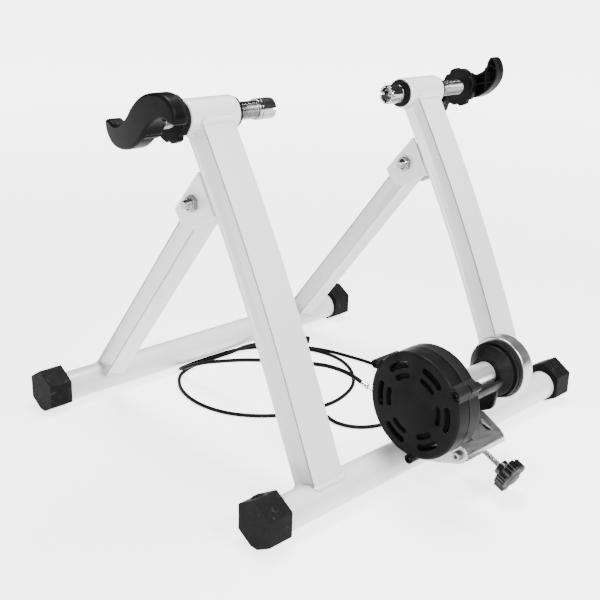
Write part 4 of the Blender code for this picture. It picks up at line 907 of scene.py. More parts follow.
for name, side in SIDES:
    make_sleeve(name, side)
    make_cup(name, side)
    make_lock_ring(name, side)
print("clamps")

# %% [markdown]
# ## Handles
#
# Both clamps use one moulding, the same after half a turn. Its outline is a smooth closed curve.
# Rings climb its wall and round its edge, and ladder rungs across the S close the crown. The same
# again, 2.5 mm further in, makes the hollow inner side.

# %% Handles
HANDLE_ARM = np.array((    # millimetres
    (2.5, -20), (-9.5, -27.6), (-22.5, -31.6), (-35.5, -32.4), (-47.5, -29.5), (-56.5, -21.5), (-60.7, -12),
    (-59.7, -5.2), (-53, -4.5), (-43, -8.5), (-32, -6.5), (-20.8, 0.8), (-11.8, 10.5),
)) / 1000
HANDLE_TIP = 7          # the arm's control point at its tip
PER_POINT = 8           # places on the curve for each control point
RUNG_POINTS = 14
SKIN = 0.0025
CROWN, TIP_CROWN, CROWN_REACH = 0.0190, 0.0162, 0.060
RIBS = np.array((       # millimetres
    ((-44, -3), (-17, -30)), ((-10, -6.5), (-41, -32)), ((-47.5, -2), (-53.5, -28)),
)) / 1000
HANDLE_TURN = {"left": 0.0, "right": math.radians(-50.6)}


def limited_inset(curve, depth):
    """Points moved inwards by a depth, but never by more than 0.8 of the bend's own radius there."""
    before, after = curve - np.roll(curve, 1, 0), np.roll(curve, -1, 0) - curve
    turn = np.arctan2(before[:, 0] * after[:, 1] - before[:, 1] * after[:, 0], (before * after).sum(1))
    bend = -turn / np.linalg.norm(after, axis=1)
    allowed = np.minimum(depth, 0.8 / np.maximum(bend, 1e-6))
    for _ in range(4):
        allowed = np.minimum(allowed, (np.roll(allowed, 1) + allowed + np.roll(allowed, -1)) / 3)
    return curve + normals(curve) * allowed[:, None]


def crown_height(points, lower):
    """The crown falls away with the square of the distance from the hub."""
    return CROWN - lower - (CROWN - TIP_CROWN) * (points**2).sum(-1) / CROWN_REACH**2


def skin(curve, base_inset, edge, lower):
    """Closed rings up the wall and round its edge, and the ladder of rungs that closes the crown."""
    rings = []
    foot = limited_inset(curve, base_inset)
    for level in (0, 0.25, 0.5, 0.75):
        rings.append(np.column_stack([foot, (crown_height(foot, lower) - edge) * level]))
    for a in np.linspace(0, math.pi / 2, 7):
        flat = limited_inset(curve, base_inset + edge * (1 - math.cos(a)))
        rings.append(np.column_stack([flat, crown_height(flat, lower) - edge * (1 - math.sin(a))]))
    last = rings[-1]
    count = len(curve) // 2
    near, far = last[np.arange(count + 1)], last[-np.arange(count + 1)]
    t = np.linspace(0, 1, RUNG_POINTS)[None, :, None]
    rungs = near[:, None] * (1 - t) + far[:, None] * t
    rungs[:, 1:-1, 2] = crown_height(rungs[:, 1:-1, :2], lower)
    faces = [face for face in quads(count + 1, RUNG_POINTS) if face[1] % RUNG_POINTS]
    return np.stack(rings), (rungs.reshape(-1, 3), faces)


def handle_shape():
    """An outer skin and an inner one 2.5 mm behind it, joined round the rim: z = 0 is the open side."""
    points = np.concatenate([HANDLE_ARM, -HANDLE_ARM])
    curve = cubics(*(np.roll(points, k, 0) for k in (1, 0, -1, -2)), PER_POINT)
    curve = np.roll(curve, -HANDLE_TIP * PER_POINT, 0)
    outer, crown = skin(curve, 0, 0.0030, 0)
    inner, ceiling = skin(curve, SKIN, 0.0010, SKIN)
    return together(loft(np.concatenate([inner[::-1], outer]), caps=False), crown, ceiling)


def rib(start, end):
    """A thin wall between two places of the outline, a little short of both."""
    along = unit(end - start)
    aside = np.array((-along[1], along[0])) * 0.0007
    start, end = start + along * 0.004, end - along * 0.004
    outline = np.array((start - aside, end - aside, end + aside, start + aside))
    return slab(outline, 0.0030, CROWN - 0.004, 0.0002, 1)


def make_handle(name, side):
    """The moulding, its ribs, and a hub with 16 flutes that covers the screw's end."""
    def hub_radius(angle):
        return 0.0180 - 0.0006 * np.maximum(0, np.cos(16 * angle))

    parts = [handle_shape(), collar(-0.0047, CROWN - 0.003, 0.0012, SCREW_RADIUS + FIT, hub_radius)]
    for ends in RIBS:
        parts += [rib(*ends), rib(*-ends)]
    c, s = math.cos(HANDLE_TURN[name]), math.sin(HANDLE_TURN[name])
    rim = side * (RIM_PLANE - ADVANCE[name])
    matrix = np.array(((0, 0, side, rim), (side * c, -side * s, 0, AXLE[0]), (s, c, 0, AXLE[1])))
    shape = moved(together(*parts), matrix)
    piece(f"clamp_handle_moulded_{name}", shape, f"clamp_screw_{name}", "plastic", f"clamp_handle_{name}")


for name, side in SIDES:
    make_handle(name, side)
print("handles")

# %% [markdown]
# ## Fold joints
#
# Two plates welded to the upright hold each leg. The bolt clamps them against a spacing bush, so
# the leg swings on the bush and never binds.

# %% Fold joints
BRACKET_GAP = 0.0430
BRACKET_PLATE = 0.0035
PIVOT_HOLE, PIVOT_THREAD, PIVOT_FLATS = 0.0053, 0.0050, 0.017
SEAM_RINGS = 40


def make_leg_joint(name, side):
    """Two plates whose roots lie on the upright's front face, and what pins the leg between them."""
    x = side * UPRIGHT_SPREAD
    on_face, along, _ = upright_face()
    root, top = (on_face + along * (PIVOT[1] + rise - on_face[1]) / along[1] for rise in (-0.0098, 0.0346))
    toe, brow = PIVOT + (0.0158, -0.0364), PIVOT + (0.0335, -0.0126)
    outline = fillet([(*root, 0), (*toe, 0.015), (*brow, 0.004), (*top, 0)], 10)
    hole = bore(PIVOT_HOLE, x - 0.04, x + 0.04, (0, *PIVOT), steps=32)
    share = np.linspace(0, 1, SEAM_RINGS)[:, None]
    swell = 0.0021 + 0.0003 * np.abs(np.sin(np.arange(SEAM_RINGS) * 0.8))
    for label, edge in SIDES:
        middle = x + edge * (BRACKET_GAP + BRACKET_PLATE) / 2
        plate = moved(slab(outline, -BRACKET_PLATE / 2, BRACKET_PLATE / 2, 0.0005, 3), across(middle))
        seam = np.column_stack([np.full(SEAM_RINGS, middle), root + (top - root) * share])
        shape = together(carved(plate, hole), tube_along(seam, swell, 12))
        piece(f"leg_plate_{name}_{label}", shape, "frame", "paint", f"leg_bracket_{name}_{label}")
    half, out = BRACKET_GAP / 2 - FIT, BRACKET_GAP / 2 + BRACKET_PLATE + FIT
    centre = (x, *PIVOT)
    washer, foot, dome = out + 0.0008, -out - 0.0060, -out - 0.0080
    shapes = {
        "bush": [spun([(0.0085, -half, 0.0004), (0.0085, half, 0.0004), (PIVOT_HOLE, half, 0),
                       (PIVOT_HOLE, -half, 0)], centre)],
        "bolt": [bar(0.0049, -out, out + 0.001, centre),
                 threaded(PIVOT_THREAD, 0.0015, -out - 0.0135, -out + 0.004, centre, steps=32),
                 hexagonal(PIVOT_FLATS, out, out + 0.0064, centre),
                 spun([(0.0098, out, 0.0001), (0.0098, washer, 0.0002), (0.006, washer, 0),
                       (0.006, out, 0)], centre)],
        "nut": [hexagonal(PIVOT_FLATS, -out - 0.0062, -out, centre, hole=PIVOT_THREAD),
                spun([(PIVOT_THREAD, dome, 0.0003), (0.0070, dome, 0.0008), (0.0078, foot, 0.0004),
                      (PIVOT_THREAD, foot, 0)], centre)],
    }
    for label, parts in shapes.items():
        piece(f"pivot_{label}_{name}", together(*parts), "frame", "thread", f"leg_pivot_{label}_{name}")


for name, side in SIDES:
    make_leg_joint(name, side)
print("fold joints")

# %% [markdown]
# ## Unit bracket and adjuster
#
# A sheet of bright plated steel is folded into a saddle on the rear tube. Its strap slopes back
# and turns down in a lip. A cross barrel in its ears is the nut for the adjusting screw.

# %% Unit bracket
EAR_LEFT, EAR_RIGHT = -0.0345, 0.0325
SHEET = 0.003
TILT_HOLE, BARREL_HOLE = 0.0043, 0.0034
TILT = np.array((-0.022, 0.048))
BARREL = np.array((-0.070, 0.046))
ADJUSTER_ANGLE = math.radians(23.65)
ADJUSTER = np.array((0, math.cos(ADJUSTER_ANGLE), math.sin(ADJUSTER_ANGLE)))


def make_unit_bracket():
    """The strap's bent section carried across, two ears, and the holes of the real blank."""
    width, middle = EAR_RIGHT - EAR_LEFT + SHEET, (EAR_LEFT + EAR_RIGHT) / 2
    strap = np.array((      # millimetres
        (-50.1, 70.4, 0.8), (-76, 56.6, 11), (-82.6, 50, 7), (-82.6, 43, 0.9), (-79.6, 43, 0.9),
        (-79.6, 49.2, 5), (-74.5, 53.8, 9), (-48.7, 67.8, 0.8),
    )) / 1000
    ear = np.array((
        (-49.5, 68.8, 2), (-80, 52.7, 2), (-81, 40, 10), (-70, 35.2, 10), (-43, 26.2, 10), (-12, 18, 0),
        (2, 30, 0), (2, 44, 0), (-10, 60, 10), (-30, 66, 10),
    )) / 1000
    shape = moved(slab(fillet(strap, 8), -width / 2, width / 2, 0.0007), across(middle))
    ears = [moved(slab(fillet(ear, 10), -SHEET / 2, SHEET / 2), across(x)) for x in (EAR_LEFT, EAR_RIGHT)]
    shape = carved(shape, *ears, operation="UNION")
    far = 0.06
    tools = [bore(TUBE_RADIUS + FIT, -far, far, (0, *REAR), steps=96), bore(TILT_HOLE, -far, far, (0, *TILT)),
             bore(BARREL_HOLE, -far, far, (0, *BARREL)),
             bore(0.00425, -0.024, -0.005, (0, *BARREL), ADJUSTER)]
    for window in ((0.014, 0.023, -0.0725, -0.0575), (-0.029, -0.011, -0.0735, -0.0560)):
        corners = np.column_stack([oblong(*window), np.full(4, 0.0016)])
        tools.append(slab(fillet(corners), 0.049, 0.080, 0, 1))
    piece("bracket_saddle", carved(shape, *tools), "frame", "sheet", "unit_bracket")


def make_barrel():
    """The barrel, and at each end a screw whose six-sided head has a six-sided socket."""
    left, right = EAR_LEFT + SHEET / 2 + FIT, EAR_RIGHT - SHEET / 2 - FIT
    barrel = bar(0.0065, left, right, (0, *BARREL), edge=0.0006, steps=72)
    barrel = carved(barrel, bore(BARREL_HOLE, -0.02, 0.02, (0, *BARREL), ADJUSTER))
    piece("barrel_turned", barrel, "frame", "chrome", "adjuster_barrel")
    for (name, side), ear in zip(SIDES, (EAR_LEFT, EAR_RIGHT)):
        face = (ear + side * (SHEET / 2 + FIT), *BARREL)
        out = (side, 0, 0)
        head = hexagonal(0.0100, 0, 0.0050, face, out)
        head = carved(head, bore(0.0027, 0.0022, 0.007, face, out, 6))
        screw = together(head, bar(0.0030, -0.0125, 0.0015, face, out, steps=32))
        piece(f"barrel_screw_turned_{name}", screw, "frame", "thread", f"barrel_screw_{name}")


make_unit_bracket()
make_barrel()

# %% Adjusting screw and knob
KNOB_FACE, KNOB_THICKNESS = 0.0417, 0.0126      # along the adjuster, from the barrel's middle
KNOB_BORE = 0.0036
WORN_FROM, WORN_TO = 0.003, 0.0012              # short of the knob's outer face


def make_adjusting_screw():
    """A thread between a plain end, in the knob, and a slim point, on the yoke's tongue."""
    place = (0, *BARREL)
    thread = threaded(0.00325, 0.00125, -0.0325, 0.0285, place, ADJUSTER, 32)
    point = [(0, 0.0305, 0), (0.0010, 0.0305, 0.0004), (0.0024, 0.0280, 0.0005), (0.0024, 0.0270, 0),
             (0, 0.0270, 0)]
    tip = spun(point, place, ADJUSTER, 32, False)
    plain = bar(0.0030, -0.0460, -0.0320, place, ADJUSTER, steps=32)
    screw = together(thread, tip, plain)
    piece("adjusting_screw_thread", screw, "adjuster_screw", "thread", "adjusting_screw")


knob_end = KNOB_FACE + KNOB_THICKNESS - (BARREL + (PLACE[1], 0)) @ ADJUSTER[1:]
FINISHES["knob"] = (knob_black(-ADJUSTER[1:], knob_end - WORN_FROM, knob_end - WORN_TO), "black_plastic")


def make_knob():
    """Five lobes, r = R - 4.6 mm v(5a), with grooves 1.5 mm deep, 30 to a turn, between the valleys."""
    start, end = KNOB_FACE, KNOB_FACE + KNOB_THICKNESS

    def radius_at(angle):
        valley = np.clip(1.6 * np.cos(5 * angle), 0, 1) ** 1.2
        groove = np.clip(1.5 * np.cos(30 * angle) - 0.3, 0, 1)
        return 0.0190 - 0.0046 * valley - 0.0015 * (1 - valley) * groove

    place = (0, *BARREL)
    body = moved(collar(start, end, 0.0014, KNOB_BORE, radius_at, 1080), facing(-ADJUSTER, place))
    inside = start + 0.002
    neck = [(KNOB_BORE, 0.0340, 0.0003), (0.0090, 0.0340, 0.0012), (0.0098, inside, 0),
            (KNOB_BORE, inside, 0)]
    dome = [(0, end + 0.0022, 0), (0.0075, end + 0.0019, 0.006), (0.0132, end - 0.0004, 0.001),
            (0.0132, end - 0.002, 0), (0, end - 0.002, 0)]
    shape = together(body, spun(neck, place, -ADJUSTER, 72), spun(dome, place, -ADJUSTER, closed=False))
    piece("adjuster_knob_moulded", shape, "adjuster_knob", "knob", "adjuster_knob")


make_adjusting_screw()
make_knob()
print("bracket and adjuster")

# %% [markdown]
# ## The tilting yoke
#
# One black casting carries the roller. It has a trough under the roller, two cheeks with bearings,
# a bell that shields the flywheel's side, and a tongue that the adjusting screw pushes.

# %% Yoke
UNIT = np.array((-0.040, 0.110))
ON_AXIS = (0, *UNIT)
BELL_FACE, BELL_MOUTH = 0.0485, 0.0607
LEFT_CHEEK, RIGHT_CHEEK, CHEEK = -0.0445, 0.0485, 0.006
SHAFT_HOLE = 0.0053


def arc_points(radius, start, end, steps, centre=(0, 0)):
    return centre + polar(radius, np.linspace(start, end, steps), 0)[:, :2]


def unit_spot(radius, angle):
    """A place at a distance and angle from the unit's axis."""
    return (0, UNIT[0] + radius * math.cos(angle), UNIT[1] + radius * math.sin(angle))


def make_yoke():
    """Trough, cheeks, bosses, bell and tongue joined into one casting, then bored."""
    low, high = math.radians(188), math.radians(330)
    outside, inside = arc_points(0.0235, low, high, 40, UNIT), arc_points(0.0185, high, low, 40, UNIT)
    length = (RIGHT_CHEEK + CHEEK - LEFT_CHEEK) / 2 - 0.001
    middle = (RIGHT_CHEEK + CHEEK + LEFT_CHEEK) / 2
    trough = slab(np.concatenate([outside, inside]), -length, length, 0.0008)
    parts = [moved(trough, across(middle))]
    cheek = np.array((      # millimetres from the roller's axis, and three from the tilt bolt's
        (-18, -7.5, 3), (-12, -42, 10), (3.5, -50, 6), (-11.5, -11, 10), (11.5, -11, 10), (12.5, 14, 12),
        (20, -8, 6), (14, 12, 10), (-14, 12, 10),
    )) / 1000
    cheek[:, :2] += [TILT if 3 <= corner <= 5 else UNIT for corner in range(len(cheek))]
    for x in (LEFT_CHEEK, RIGHT_CHEEK):
        parts.append(moved(slab(fillet(cheek, 10), -CHEEK / 2, CHEEK / 2, 0.0011, 4), across(x + CHEEK / 2)))
    for start, end in ((LEFT_CHEEK + CHEEK - 0.001, EAR_LEFT - SHEET / 2 - FIT),
                       (EAR_RIGHT + SHEET / 2 + FIT, RIGHT_CHEEK + 0.001)):
        parts.append(bar(0.0100, start, end, (0, *TILT), edge=0.0006, steps=72))
    bell = [(0.0306, BELL_MOUTH, 0.0006), (0.0300, 0.0572, 0.0015), (0.0195, 0.0490, 0.0010),
            (0.0195, BELL_FACE, 0.0002), (0.0145, BELL_FACE, 0), (0.0145, 0.0545, 0), (0.0190, 0.0550, 0.001),
            (0.0278, BELL_MOUTH, 0.0004)]
    parts.append(spun(bell, ON_AXIS, steps=144))
    along = ADJUSTER[1:]
    up = np.array((-along[1], along[0]))
    corners = ((0.0308, -0.0080, 0.0006), (0.0358, -0.0080, 0.002), (0.0358, 0.0335, 0), (0.0308, 0.0335, 0))
    tongue = fillet([(*(BARREL + along * a + up * b), radius) for a, b, radius in corners])
    parts.append(moved(slab(tongue, -0.016, 0.016, 0.0010, 4), across()))
    body = carved(parts[0], *parts[1:], operation="UNION")
    far = 0.10
    holes = [bore(SHAFT_HOLE, -far, far, ON_AXIS, steps=48), bore(TILT_HOLE, -far, far, (0, *TILT)),
             bore(0.0080, LEFT_CHEEK - 0.01, LEFT_CHEEK + 0.0048, (0, *TILT), steps=48)]
    piece("yoke_casting", carved(body, *holes), "unit", "cast", "unit_yoke")


def make_tilt_pivot():
    """A bolt through both cheeks; its nut lies in a recess in the left one."""
    left, right, flats = LEFT_CHEEK, RIGHT_CHEEK + CHEEK, 0.013
    place = (0, *TILT)
    bolt = together(bar(0.0040, left + FIT, right + 0.002, place, steps=40),
                    hexagonal(flats, right + FIT, right + 0.0053, place))
    piece("tilt_bolt", bolt, "frame", "zinc", "unit_pivot_bolt")
    nut = hexagonal(flats, left + FIT, left + 0.0045, place, hole=0.0041)
    piece("tilt_nut", nut, "frame", "zinc", "unit_pivot_nut")


make_yoke()
make_tilt_pivot()
print("yoke")

# %% [markdown]
# ## The magnet housing
#
# Two black mouldings hide the magnets. The cover has two rings of curved slots that let heat out,
# and three long bosses for the screws that pull both halves together.

# %% Housing
FACE, SEAM, BACK = -0.084, -0.0645, -0.045
HOUSING_RADIUS, HOUSING_WALL = 0.060, 0.0025
SLOT_RINGS = ((0.046, 0.0074), (0.034, 0.0064))
SLOT_SPAN = math.radians(37)
BOSS_CIRCLE, BOSS_RADIUS, SCREW_RECESS = 0.063, 0.0052, 0.0027
BOSS_ANGLES = tuple(math.radians(a) for a in (30, 150, 270))


def slot_outline(radius, width, middle):
    """A slot bent round the axis: two arcs joined by half circles."""
    half = SLOT_SPAN / 2 - width / 2 / radius
    outer = arc_points(radius + width / 2, middle - half, middle + half, 14)
    inner = arc_points(radius - width / 2, middle + half, middle - half, 14)
    ends = []
    for angle, first in ((middle + half, middle + half), (middle - half, middle - half + math.pi)):
        centre = (radius * math.cos(angle), radius * math.sin(angle))
        ends.append(arc_points(width / 2, first, first + math.pi, 12, centre)[1:-1])
    return np.concatenate([outer, ends[0], inner, ends[1]])


def flared(outline, face, depth):
    """A cutter that rounds a hole's edge: at h below the face it is wider by e - sqrt(e^2 - (e - h)^2)."""
    edge = 0.0004
    below = np.linspace(0, edge, 4)
    wider = edge - np.sqrt(np.maximum(edge**2 - (edge - below) ** 2, 0))
    heights = np.concatenate([[face - 0.004], face + below, [face + depth]])
    wider = np.concatenate([[edge], wider, [0]])
    return stacked(outline, -wider, heights)


def boss(start, end, angle, recess=0.0):
    """A screw boss along X at the housing's edge, and the web that blends it into the round wall."""
    profile = [(0, end, 0), (BOSS_RADIUS, end, 0.0003), (BOSS_RADIUS, start, 0.0008)]
    if recess:
        profile += [(SCREW_RECESS, start, 0.0003), (SCREW_RECESS, start + recess, 0)]
    profile.append((0, start + recess, 0))
    post = spun(profile, unit_spot(BOSS_CIRCLE, angle), steps=64, closed=False)
    turn = np.array(((math.cos(angle), math.sin(angle)), (-math.sin(angle), math.cos(angle))))
    corners = ((0.0535, -0.0165), (BOSS_CIRCLE, -0.0050), (BOSS_CIRCLE, 0.0050), (0.0535, 0.0165))
    low = max(start, FACE + 0.0035)
    return together(post, moved(slab(np.array(corners) @ turn + UNIT, low, end, 0.0004, 2), across()))


def housing_half(profile):
    return spun(profile, ON_AXIS, steps=192, closed=profile[0][0] > 0, arc_steps=7)


def make_housing():
    """The slotted cover with its spigot and bosses, and the rear half."""
    r, inside, floor = HOUSING_RADIUS, HOUSING_RADIUS - HOUSING_WALL, FACE + HOUSING_WALL
    cover = housing_half([(0, FACE, 0), (0.0250, FACE, 0), (r, FACE, 0.0032), (r, SEAM - FIT, 0.0004),
                          (inside, SEAM - FIT, 0), (inside, floor, 0.001), (0, floor, 0)])
    slots = [moved(flared(slot_outline(radius, width, angle), FACE, 0.006), across(0, UNIT))
             for radius, width in SLOT_RINGS for angle in around(6)]
    spigot = bar(0.008, FACE + HOUSING_WALL / 2, -0.0695, ON_AXIS)
    bosses = [boss(FACE - 0.0025, SEAM - FIT, angle, 0.006) for angle in BOSS_ANGLES]
    shape = together(carved(cover, *slots), spigot, *bosses)
    piece("housing_cover_moulded", shape, "unit", "housing", "housing_cover")
    back, floor = BACK - 0.0005, BACK - HOUSING_WALL
    rear = housing_half([(r, back, 0.0025), (r, SEAM + FIT, 0.0004), (inside, SEAM + FIT, 0),
                         (inside, floor, 0.001), (0.010, floor, 0.0003), (0.010, back, 0.0003)])
    bosses = [boss(SEAM + FIT, BACK - 0.002, angle) for angle in BOSS_ANGLES]
    piece("housing_rear_moulded", together(rear, *bosses), "unit", "housing", "housing_rear_half")


def make_housing_screws():
    """A crowned head with a cross cut in it, deep in each boss."""
    arm = slab(oblong(-0.0017, 0.0017, -0.0003, 0.0003), FACE + 0.001, FACE + 0.0025, 0)
    heads = []
    for angle in BOSS_ANGLES:
        place = unit_spot(BOSS_CIRCLE, angle)
        head = spun([(0, FACE + 0.0014, 0), (0.0014, FACE + 0.00145, 0.0008), (0.0025, FACE + 0.0021, 0.0005),
                     (0.0025, FACE + 0.0036, 0), (0, FACE + 0.0036, 0)], place, steps=48, closed=False)
        crosses = [moved(arm, facing((1, 0, 0), place, angle + turn)) for turn in (0.5, 0.5 + math.pi / 2)]
        heads.append(carved(head, *crosses))
    piece("housing_screws", together(*heads), "unit", "zinc")


make_housing()
make_housing_screws()
print("housing")

# %% [markdown]
# ## Everything that spins, and the magnets
#
# The tyre turns the roller. Its shaft spins an aluminium disc past the magnets on one side and a
# bright plated flywheel on the other.

# %% Roller, rotor and flywheel
SHAFT_START = -0.0685


def make_spinning_parts():
    """Each is a profile of (radius, place along the axis, fillet), with the shaft's hole through it."""
    def bored(*corners):
        return [(SHAFT_HOLE, corners[0][1], 0.0002), *corners, (SHAFT_HOLE, corners[-1][1], 0.0002)]

    roller = bored((0.0140, -0.0380, 0.0011), (0.0140, 0.0480, 0.0011))
    near, hub_end = SHAFT_START, BACK - HOUSING_WALL - 0.0012
    disc = bored((0.050, near, 0.0005), (0.050, near + 0.004, 0.0005), (0.0130, near + 0.004, 0.001),
                 (0.0120, hub_end, 0.0006))
    begin, rim = BELL_MOUTH + 0.0013, 0.0335
    groove = rim - 0.0012
    hub = bored((rim, begin, 0.0005), (rim, begin + 0.0031, 0.0004), (groove, begin + 0.0036, 0.0003),
                (groove, begin + 0.0046, 0.0003), (rim, begin + 0.0051, 0.0004), (rim, 0.0700, 0.0005))
    begin, end, rim, dish = 0.0703, 0.0885, 0.037, 0.0055
    floor, nut_face = end - dish, end - 0.001
    wheel = bored((rim, begin, 0.0014), (rim, end, 0.0014), (rim - 0.0070, end, 0.0008),
                  (rim - 0.0085, floor, 0.0012), (0.0135, floor, 0.0012), (0.0125, nut_face, 0.0006))
    nut = hexagonal(0.016, nut_face + FIT, end + 0.005, ON_AXIS, hole=SHAFT_HOLE)
    for name, shape, finish, node in (
        ("shaft_turned", bar(0.005, SHAFT_START, 0.0955, ON_AXIS, edge=0.0006), "roller", "roller_shaft"),
        ("roller_ground", spun(roller, ON_AXIS, steps=144), "roller", "roller"),
        ("rotor_turned", spun(disc, ON_AXIS, steps=144), "rotor", "rotor_disc"),
        ("flywheel_hub_turned", spun(hub, ON_AXIS, steps=144), "cast", "flywheel_hub"),
        ("flywheel_turned", spun(wheel, ON_AXIS, steps=192, arc_steps=6), "flywheel", "flywheel"),
        ("flywheel_nut_pressed", nut, "zinc", "flywheel_nut"),
    ):
        piece(name, shape, "roller", finish, node)


def make_magnet_carrier():
    """A steel disc with six magnets, and the lug that the cable's wire pulls."""
    back = FACE + HOUSING_WALL + 0.0005
    plate = [(0.0086, back, 0.0003), (0.046, back, 0.0004), (0.046, back + 0.003, 0.0004),
             (0.0086, back + 0.003, 0.0003)]
    parts = [spun(plate, ON_AXIS, steps=144)]
    for angle in around(6) + math.pi / 6:
        spot = unit_spot(0.034, angle)
        parts.append(bar(0.010, back + 0.00225, back + 0.00975, spot, edge=0.0006, steps=48))
    turn = math.radians(-22)
    lug = fillet([(0.040, -0.005, 0), (0.0490, -0.0035, 0.002), (0.0490, 0.0035, 0.002), (0.040, 0.005, 0)])
    spin = np.array(((math.cos(turn), math.sin(turn)), (-math.sin(turn), math.cos(turn))))
    parts.append(moved(slab(lug @ spin, back, back + 0.0095), across(0, UNIT)))
    # The carrier's black finish is painted shade, which darkens what is seen through the cover's slots.
    piece("magnet_plate", together(*parts), "magnets", "painted_shade_black", "magnet_carrier")


make_spinning_parts()
make_magnet_carrier()
print("roller, rotor and flywheel")

# %% [markdown]
# ## Cable ends and the handlebar remote
#
# The jacket ends in a bright crimped ferrule at the housing. At its far end it enters the remote:
# a moulded body, a band for the handlebar, and a thumb lever.

# %% Ferrule and remote
FERRULE_LENGTH = 0.0090
REMOTE = np.array((0.080, 0.308))
REMOTE_TURN = math.radians(30)
REMOTE_HEIGHT = 0.016


def make_ferrule():
    """A turned tube with two crimped waists; the bare wire goes on to the magnets' lug."""
    heading = unit(CABLE_ROUTE[1] - CABLE_ROUTE[0])
    start = CABLE_ROUTE[0] - heading * (FIT + FERRULE_LENGTH)
    wide, waist, soft = 0.0032, 0.0028, 0.0002
    profile = [(0, 0, 0), (waist, 0, 0.0004), (wide, 0.0010, 0.0003), (wide, 0.0032, soft),
               (waist, 0.0036, soft), (waist, 0.0046, soft), (wide, 0.0050, soft),
               (wide, FERRULE_LENGTH, 0.0004), (0, FERRULE_LENGTH, 0)]
    shape = spun(profile, start, heading, 48, closed=False)
    ferrule = piece("ferrule_crimped", shape, "unit", "chrome", "cable_ferrule")
    way = np.array((CABLE_ROUTE[0][0], UNIT[0] + 0.0465, UNIT[1] - 0.0195)) - start
    strand = bar(0.0008, FIT, np.linalg.norm(way) - FIT, start, way, 0.0002, 16)
    return [ferrule, piece("wire_strand", strand, "unit", "zinc", "cable_inner_wire")]


def tapered(left, right, wide, narrow, left_radius, right_radius, steps):
    """An outline whose half width runs from wide, at its left end, to narrow."""
    return fillet([(left, -wide, left_radius), (right, -narrow, right_radius), (right, narrow, right_radius),
                   (left, wide, left_radius)], steps)


def make_remote():
    """A body with a slit band for the handlebar, and a ridged thumb lever on top of it."""
    half, side, inside, band = 0.026, 0.013, 0.0111, 0.0028
    c, s = math.cos(REMOTE_TURN), math.sin(REMOTE_TURN)
    placing = np.array(((c, -s, 0, REMOTE[0]), (s, c, 0, REMOTE[1]), (0, 0, 1, 0)))
    body = slab(tapered(-half, half, side, side, 0.004, side - 0.0005, 12), 0, REMOTE_HEIGHT, 0.0022, 5)
    centre = np.array((-0.004, side + inside + band - 0.0015))
    level, middle = REMOTE_HEIGHT - 0.006, centre[1]
    circle = polar(1, around(72), 0)[:, :2]
    loop = slab(centre + (inside + band) * circle, level - 0.005, level + 0.005, 0.0010, 4)
    tab = slab(oblong(-0.009, 0.001, 0.0120 + middle, 0.0179 + middle), level - 0.004, level + 0.004)
    slit = slab(oblong(-0.005, -0.003, 0.008 + middle, 0.024 + middle), -0.01, 0.03, 0)
    hole = slab(centre + inside * circle, -0.01, 0.03, 0)
    body = carved(carved(body, loop, tab, operation="UNION"), hole, slit)
    remote = piece("remote_moulded", moved(body, placing), "frame", "plastic", "remote_body")
    hub, reach = side - 0.002, 0.042
    placing[:, 3] = (*(REMOTE + np.array((c, s)) * (half - side)), REMOTE_HEIGHT + FIT)
    paddle = slab(tapered(-hub, reach, hub, 0.005, hub - 0.0005, 0.004, 12), 0, 0.0048, 0.0014, 5)
    grip = slab(tapered(0.030, reach, 0.0045, 0.0045, 0.002, 0.003, 8), -0.0055, 0.0035, 0.0012, 4)
    ridges = [slab(oblong(x, x + 0.0008, -0.0032, 0.0032), 0.004, 0.0050, 0.0003, 2)
              for x in (0.029, 0.0315, 0.034, 0.0365)]
    cap = spun([(0, 0.0050, 0), (0.0040, 0.0050, 0.0005), (0.0044, 0.0040, 0), (0, 0.0040, 0)],
               (0, 0, 0), (0, 0, 1), 48, False)
    lever = together(carved(paddle, grip, operation="UNION"), cap, *ridges)
    lever = piece("remote_lever_moulded", moved(lever, placing), "remote_lever", "plastic", "remote_lever")
    return [remote, lever]


CORD_PIECES = [*make_ferrule(), *make_remote()]
print("cable ends")

# %% [markdown]
# ## Floor and light
#
# A white floor that glows more with distance gives the photograph's bright ground. Four soft lamps,
# the largest one overhead, model the faces without hard shadows.

# %% Floor and light
FLOOR_REACH = 60.0
LAMP_AIM = Vector((0.0, 0.0, 0.15))


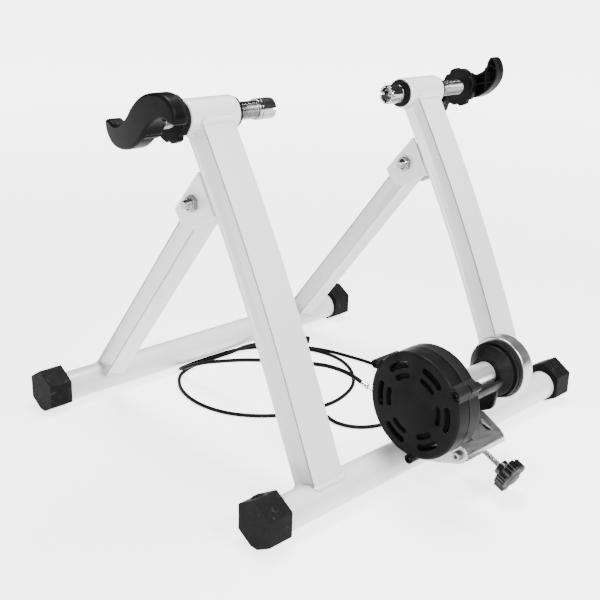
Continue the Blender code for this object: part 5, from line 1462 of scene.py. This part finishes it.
def make_room():
    """A pale floor that glows more the farther it is, a dim world, and four soft lamps."""
    corners = oblong(-FLOOR_REACH, FLOOR_REACH, -FLOOR_REACH, FLOOR_REACH)
    floor_mesh = bpy.data.meshes.new("floor")
    floor_mesh.from_pydata([(x, y, 0) for x, y in corners], [], [(0, 1, 2, 3)])
    floor = bpy.data.objects.new("floor", floor_mesh)
    bpy.context.scene.collection.objects.link(floor)
    paper = Finish("paper_floor", (0.45, 0.45, 0.45), 0.9, Specular_IOR_Level=0.0)
    distance = paper.node("ShaderNodeVectorMath", "Value", {"operation": "LENGTH"}, Vector=paper.object)
    far = paper.ramp(distance, 0.8, 3.0)
    paper.feed("Emission Color", paper.mix(far, (0.52,) * 3, (1, 1, 1)))
    paper.set("Emission Strength", 5.5)
    paper.feed("Roughness", 0.85 + 0.1 * paper.noise(3, 2))
    floor.data.materials.append(paper.material)
    world = bpy.data.worlds.new("room")
    bpy.context.scene.world = world
    world.use_nodes = True
    background = world.node_tree.nodes["Background"]
    background.inputs["Color"].default_value = (1.0, 1.0, 1.0, 1)
    background.inputs["Strength"].default_value = 0.07
    for name, place, power, width in (
        ("key_light", (0.2, -1.9, 1.9), 140.0, 0.7), ("top_light", (0.3, 0.3, 2.4), 180.0, 1.0),
        ("side_light", (-2.2, -0.6, 1.2), 25.0, 0.6), ("fill_light", (-1.5, -1.5, 1.0), 45.0, 0.5),
    ):
        lamp = bpy.data.lights.new(name, "AREA")
        lamp.energy = power
        lamp.size = width
        made = bpy.data.objects.new(name, lamp)
        aim = LAMP_AIM - Vector(place)
        made.matrix_world = Matrix.Translation(place) @ aim.to_track_quat("-Z", "Y").to_matrix().to_4x4()
        bpy.context.scene.collection.objects.link(made)


make_room()

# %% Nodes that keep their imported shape
SLOT_FINISH = {
    "frame_paint": "paint", "black_plastic": "plastic", "foot_rubber": "rubber", "cast_black": "cast",
    "chrome": "chrome", "zinc": "zinc", "roller_steel": "roller", "rotor_aluminium": "rotor",
    "cable_black": "cable",
}
slot_of = {part["node"]: part["material_slot"] for part in frame["record"]["subparts"]}
for name, node in nodes.items():
    node.data.materials.clear()
    node.data.materials.append(FINISHES[SLOT_FINISH[slot_of[name]]][0])
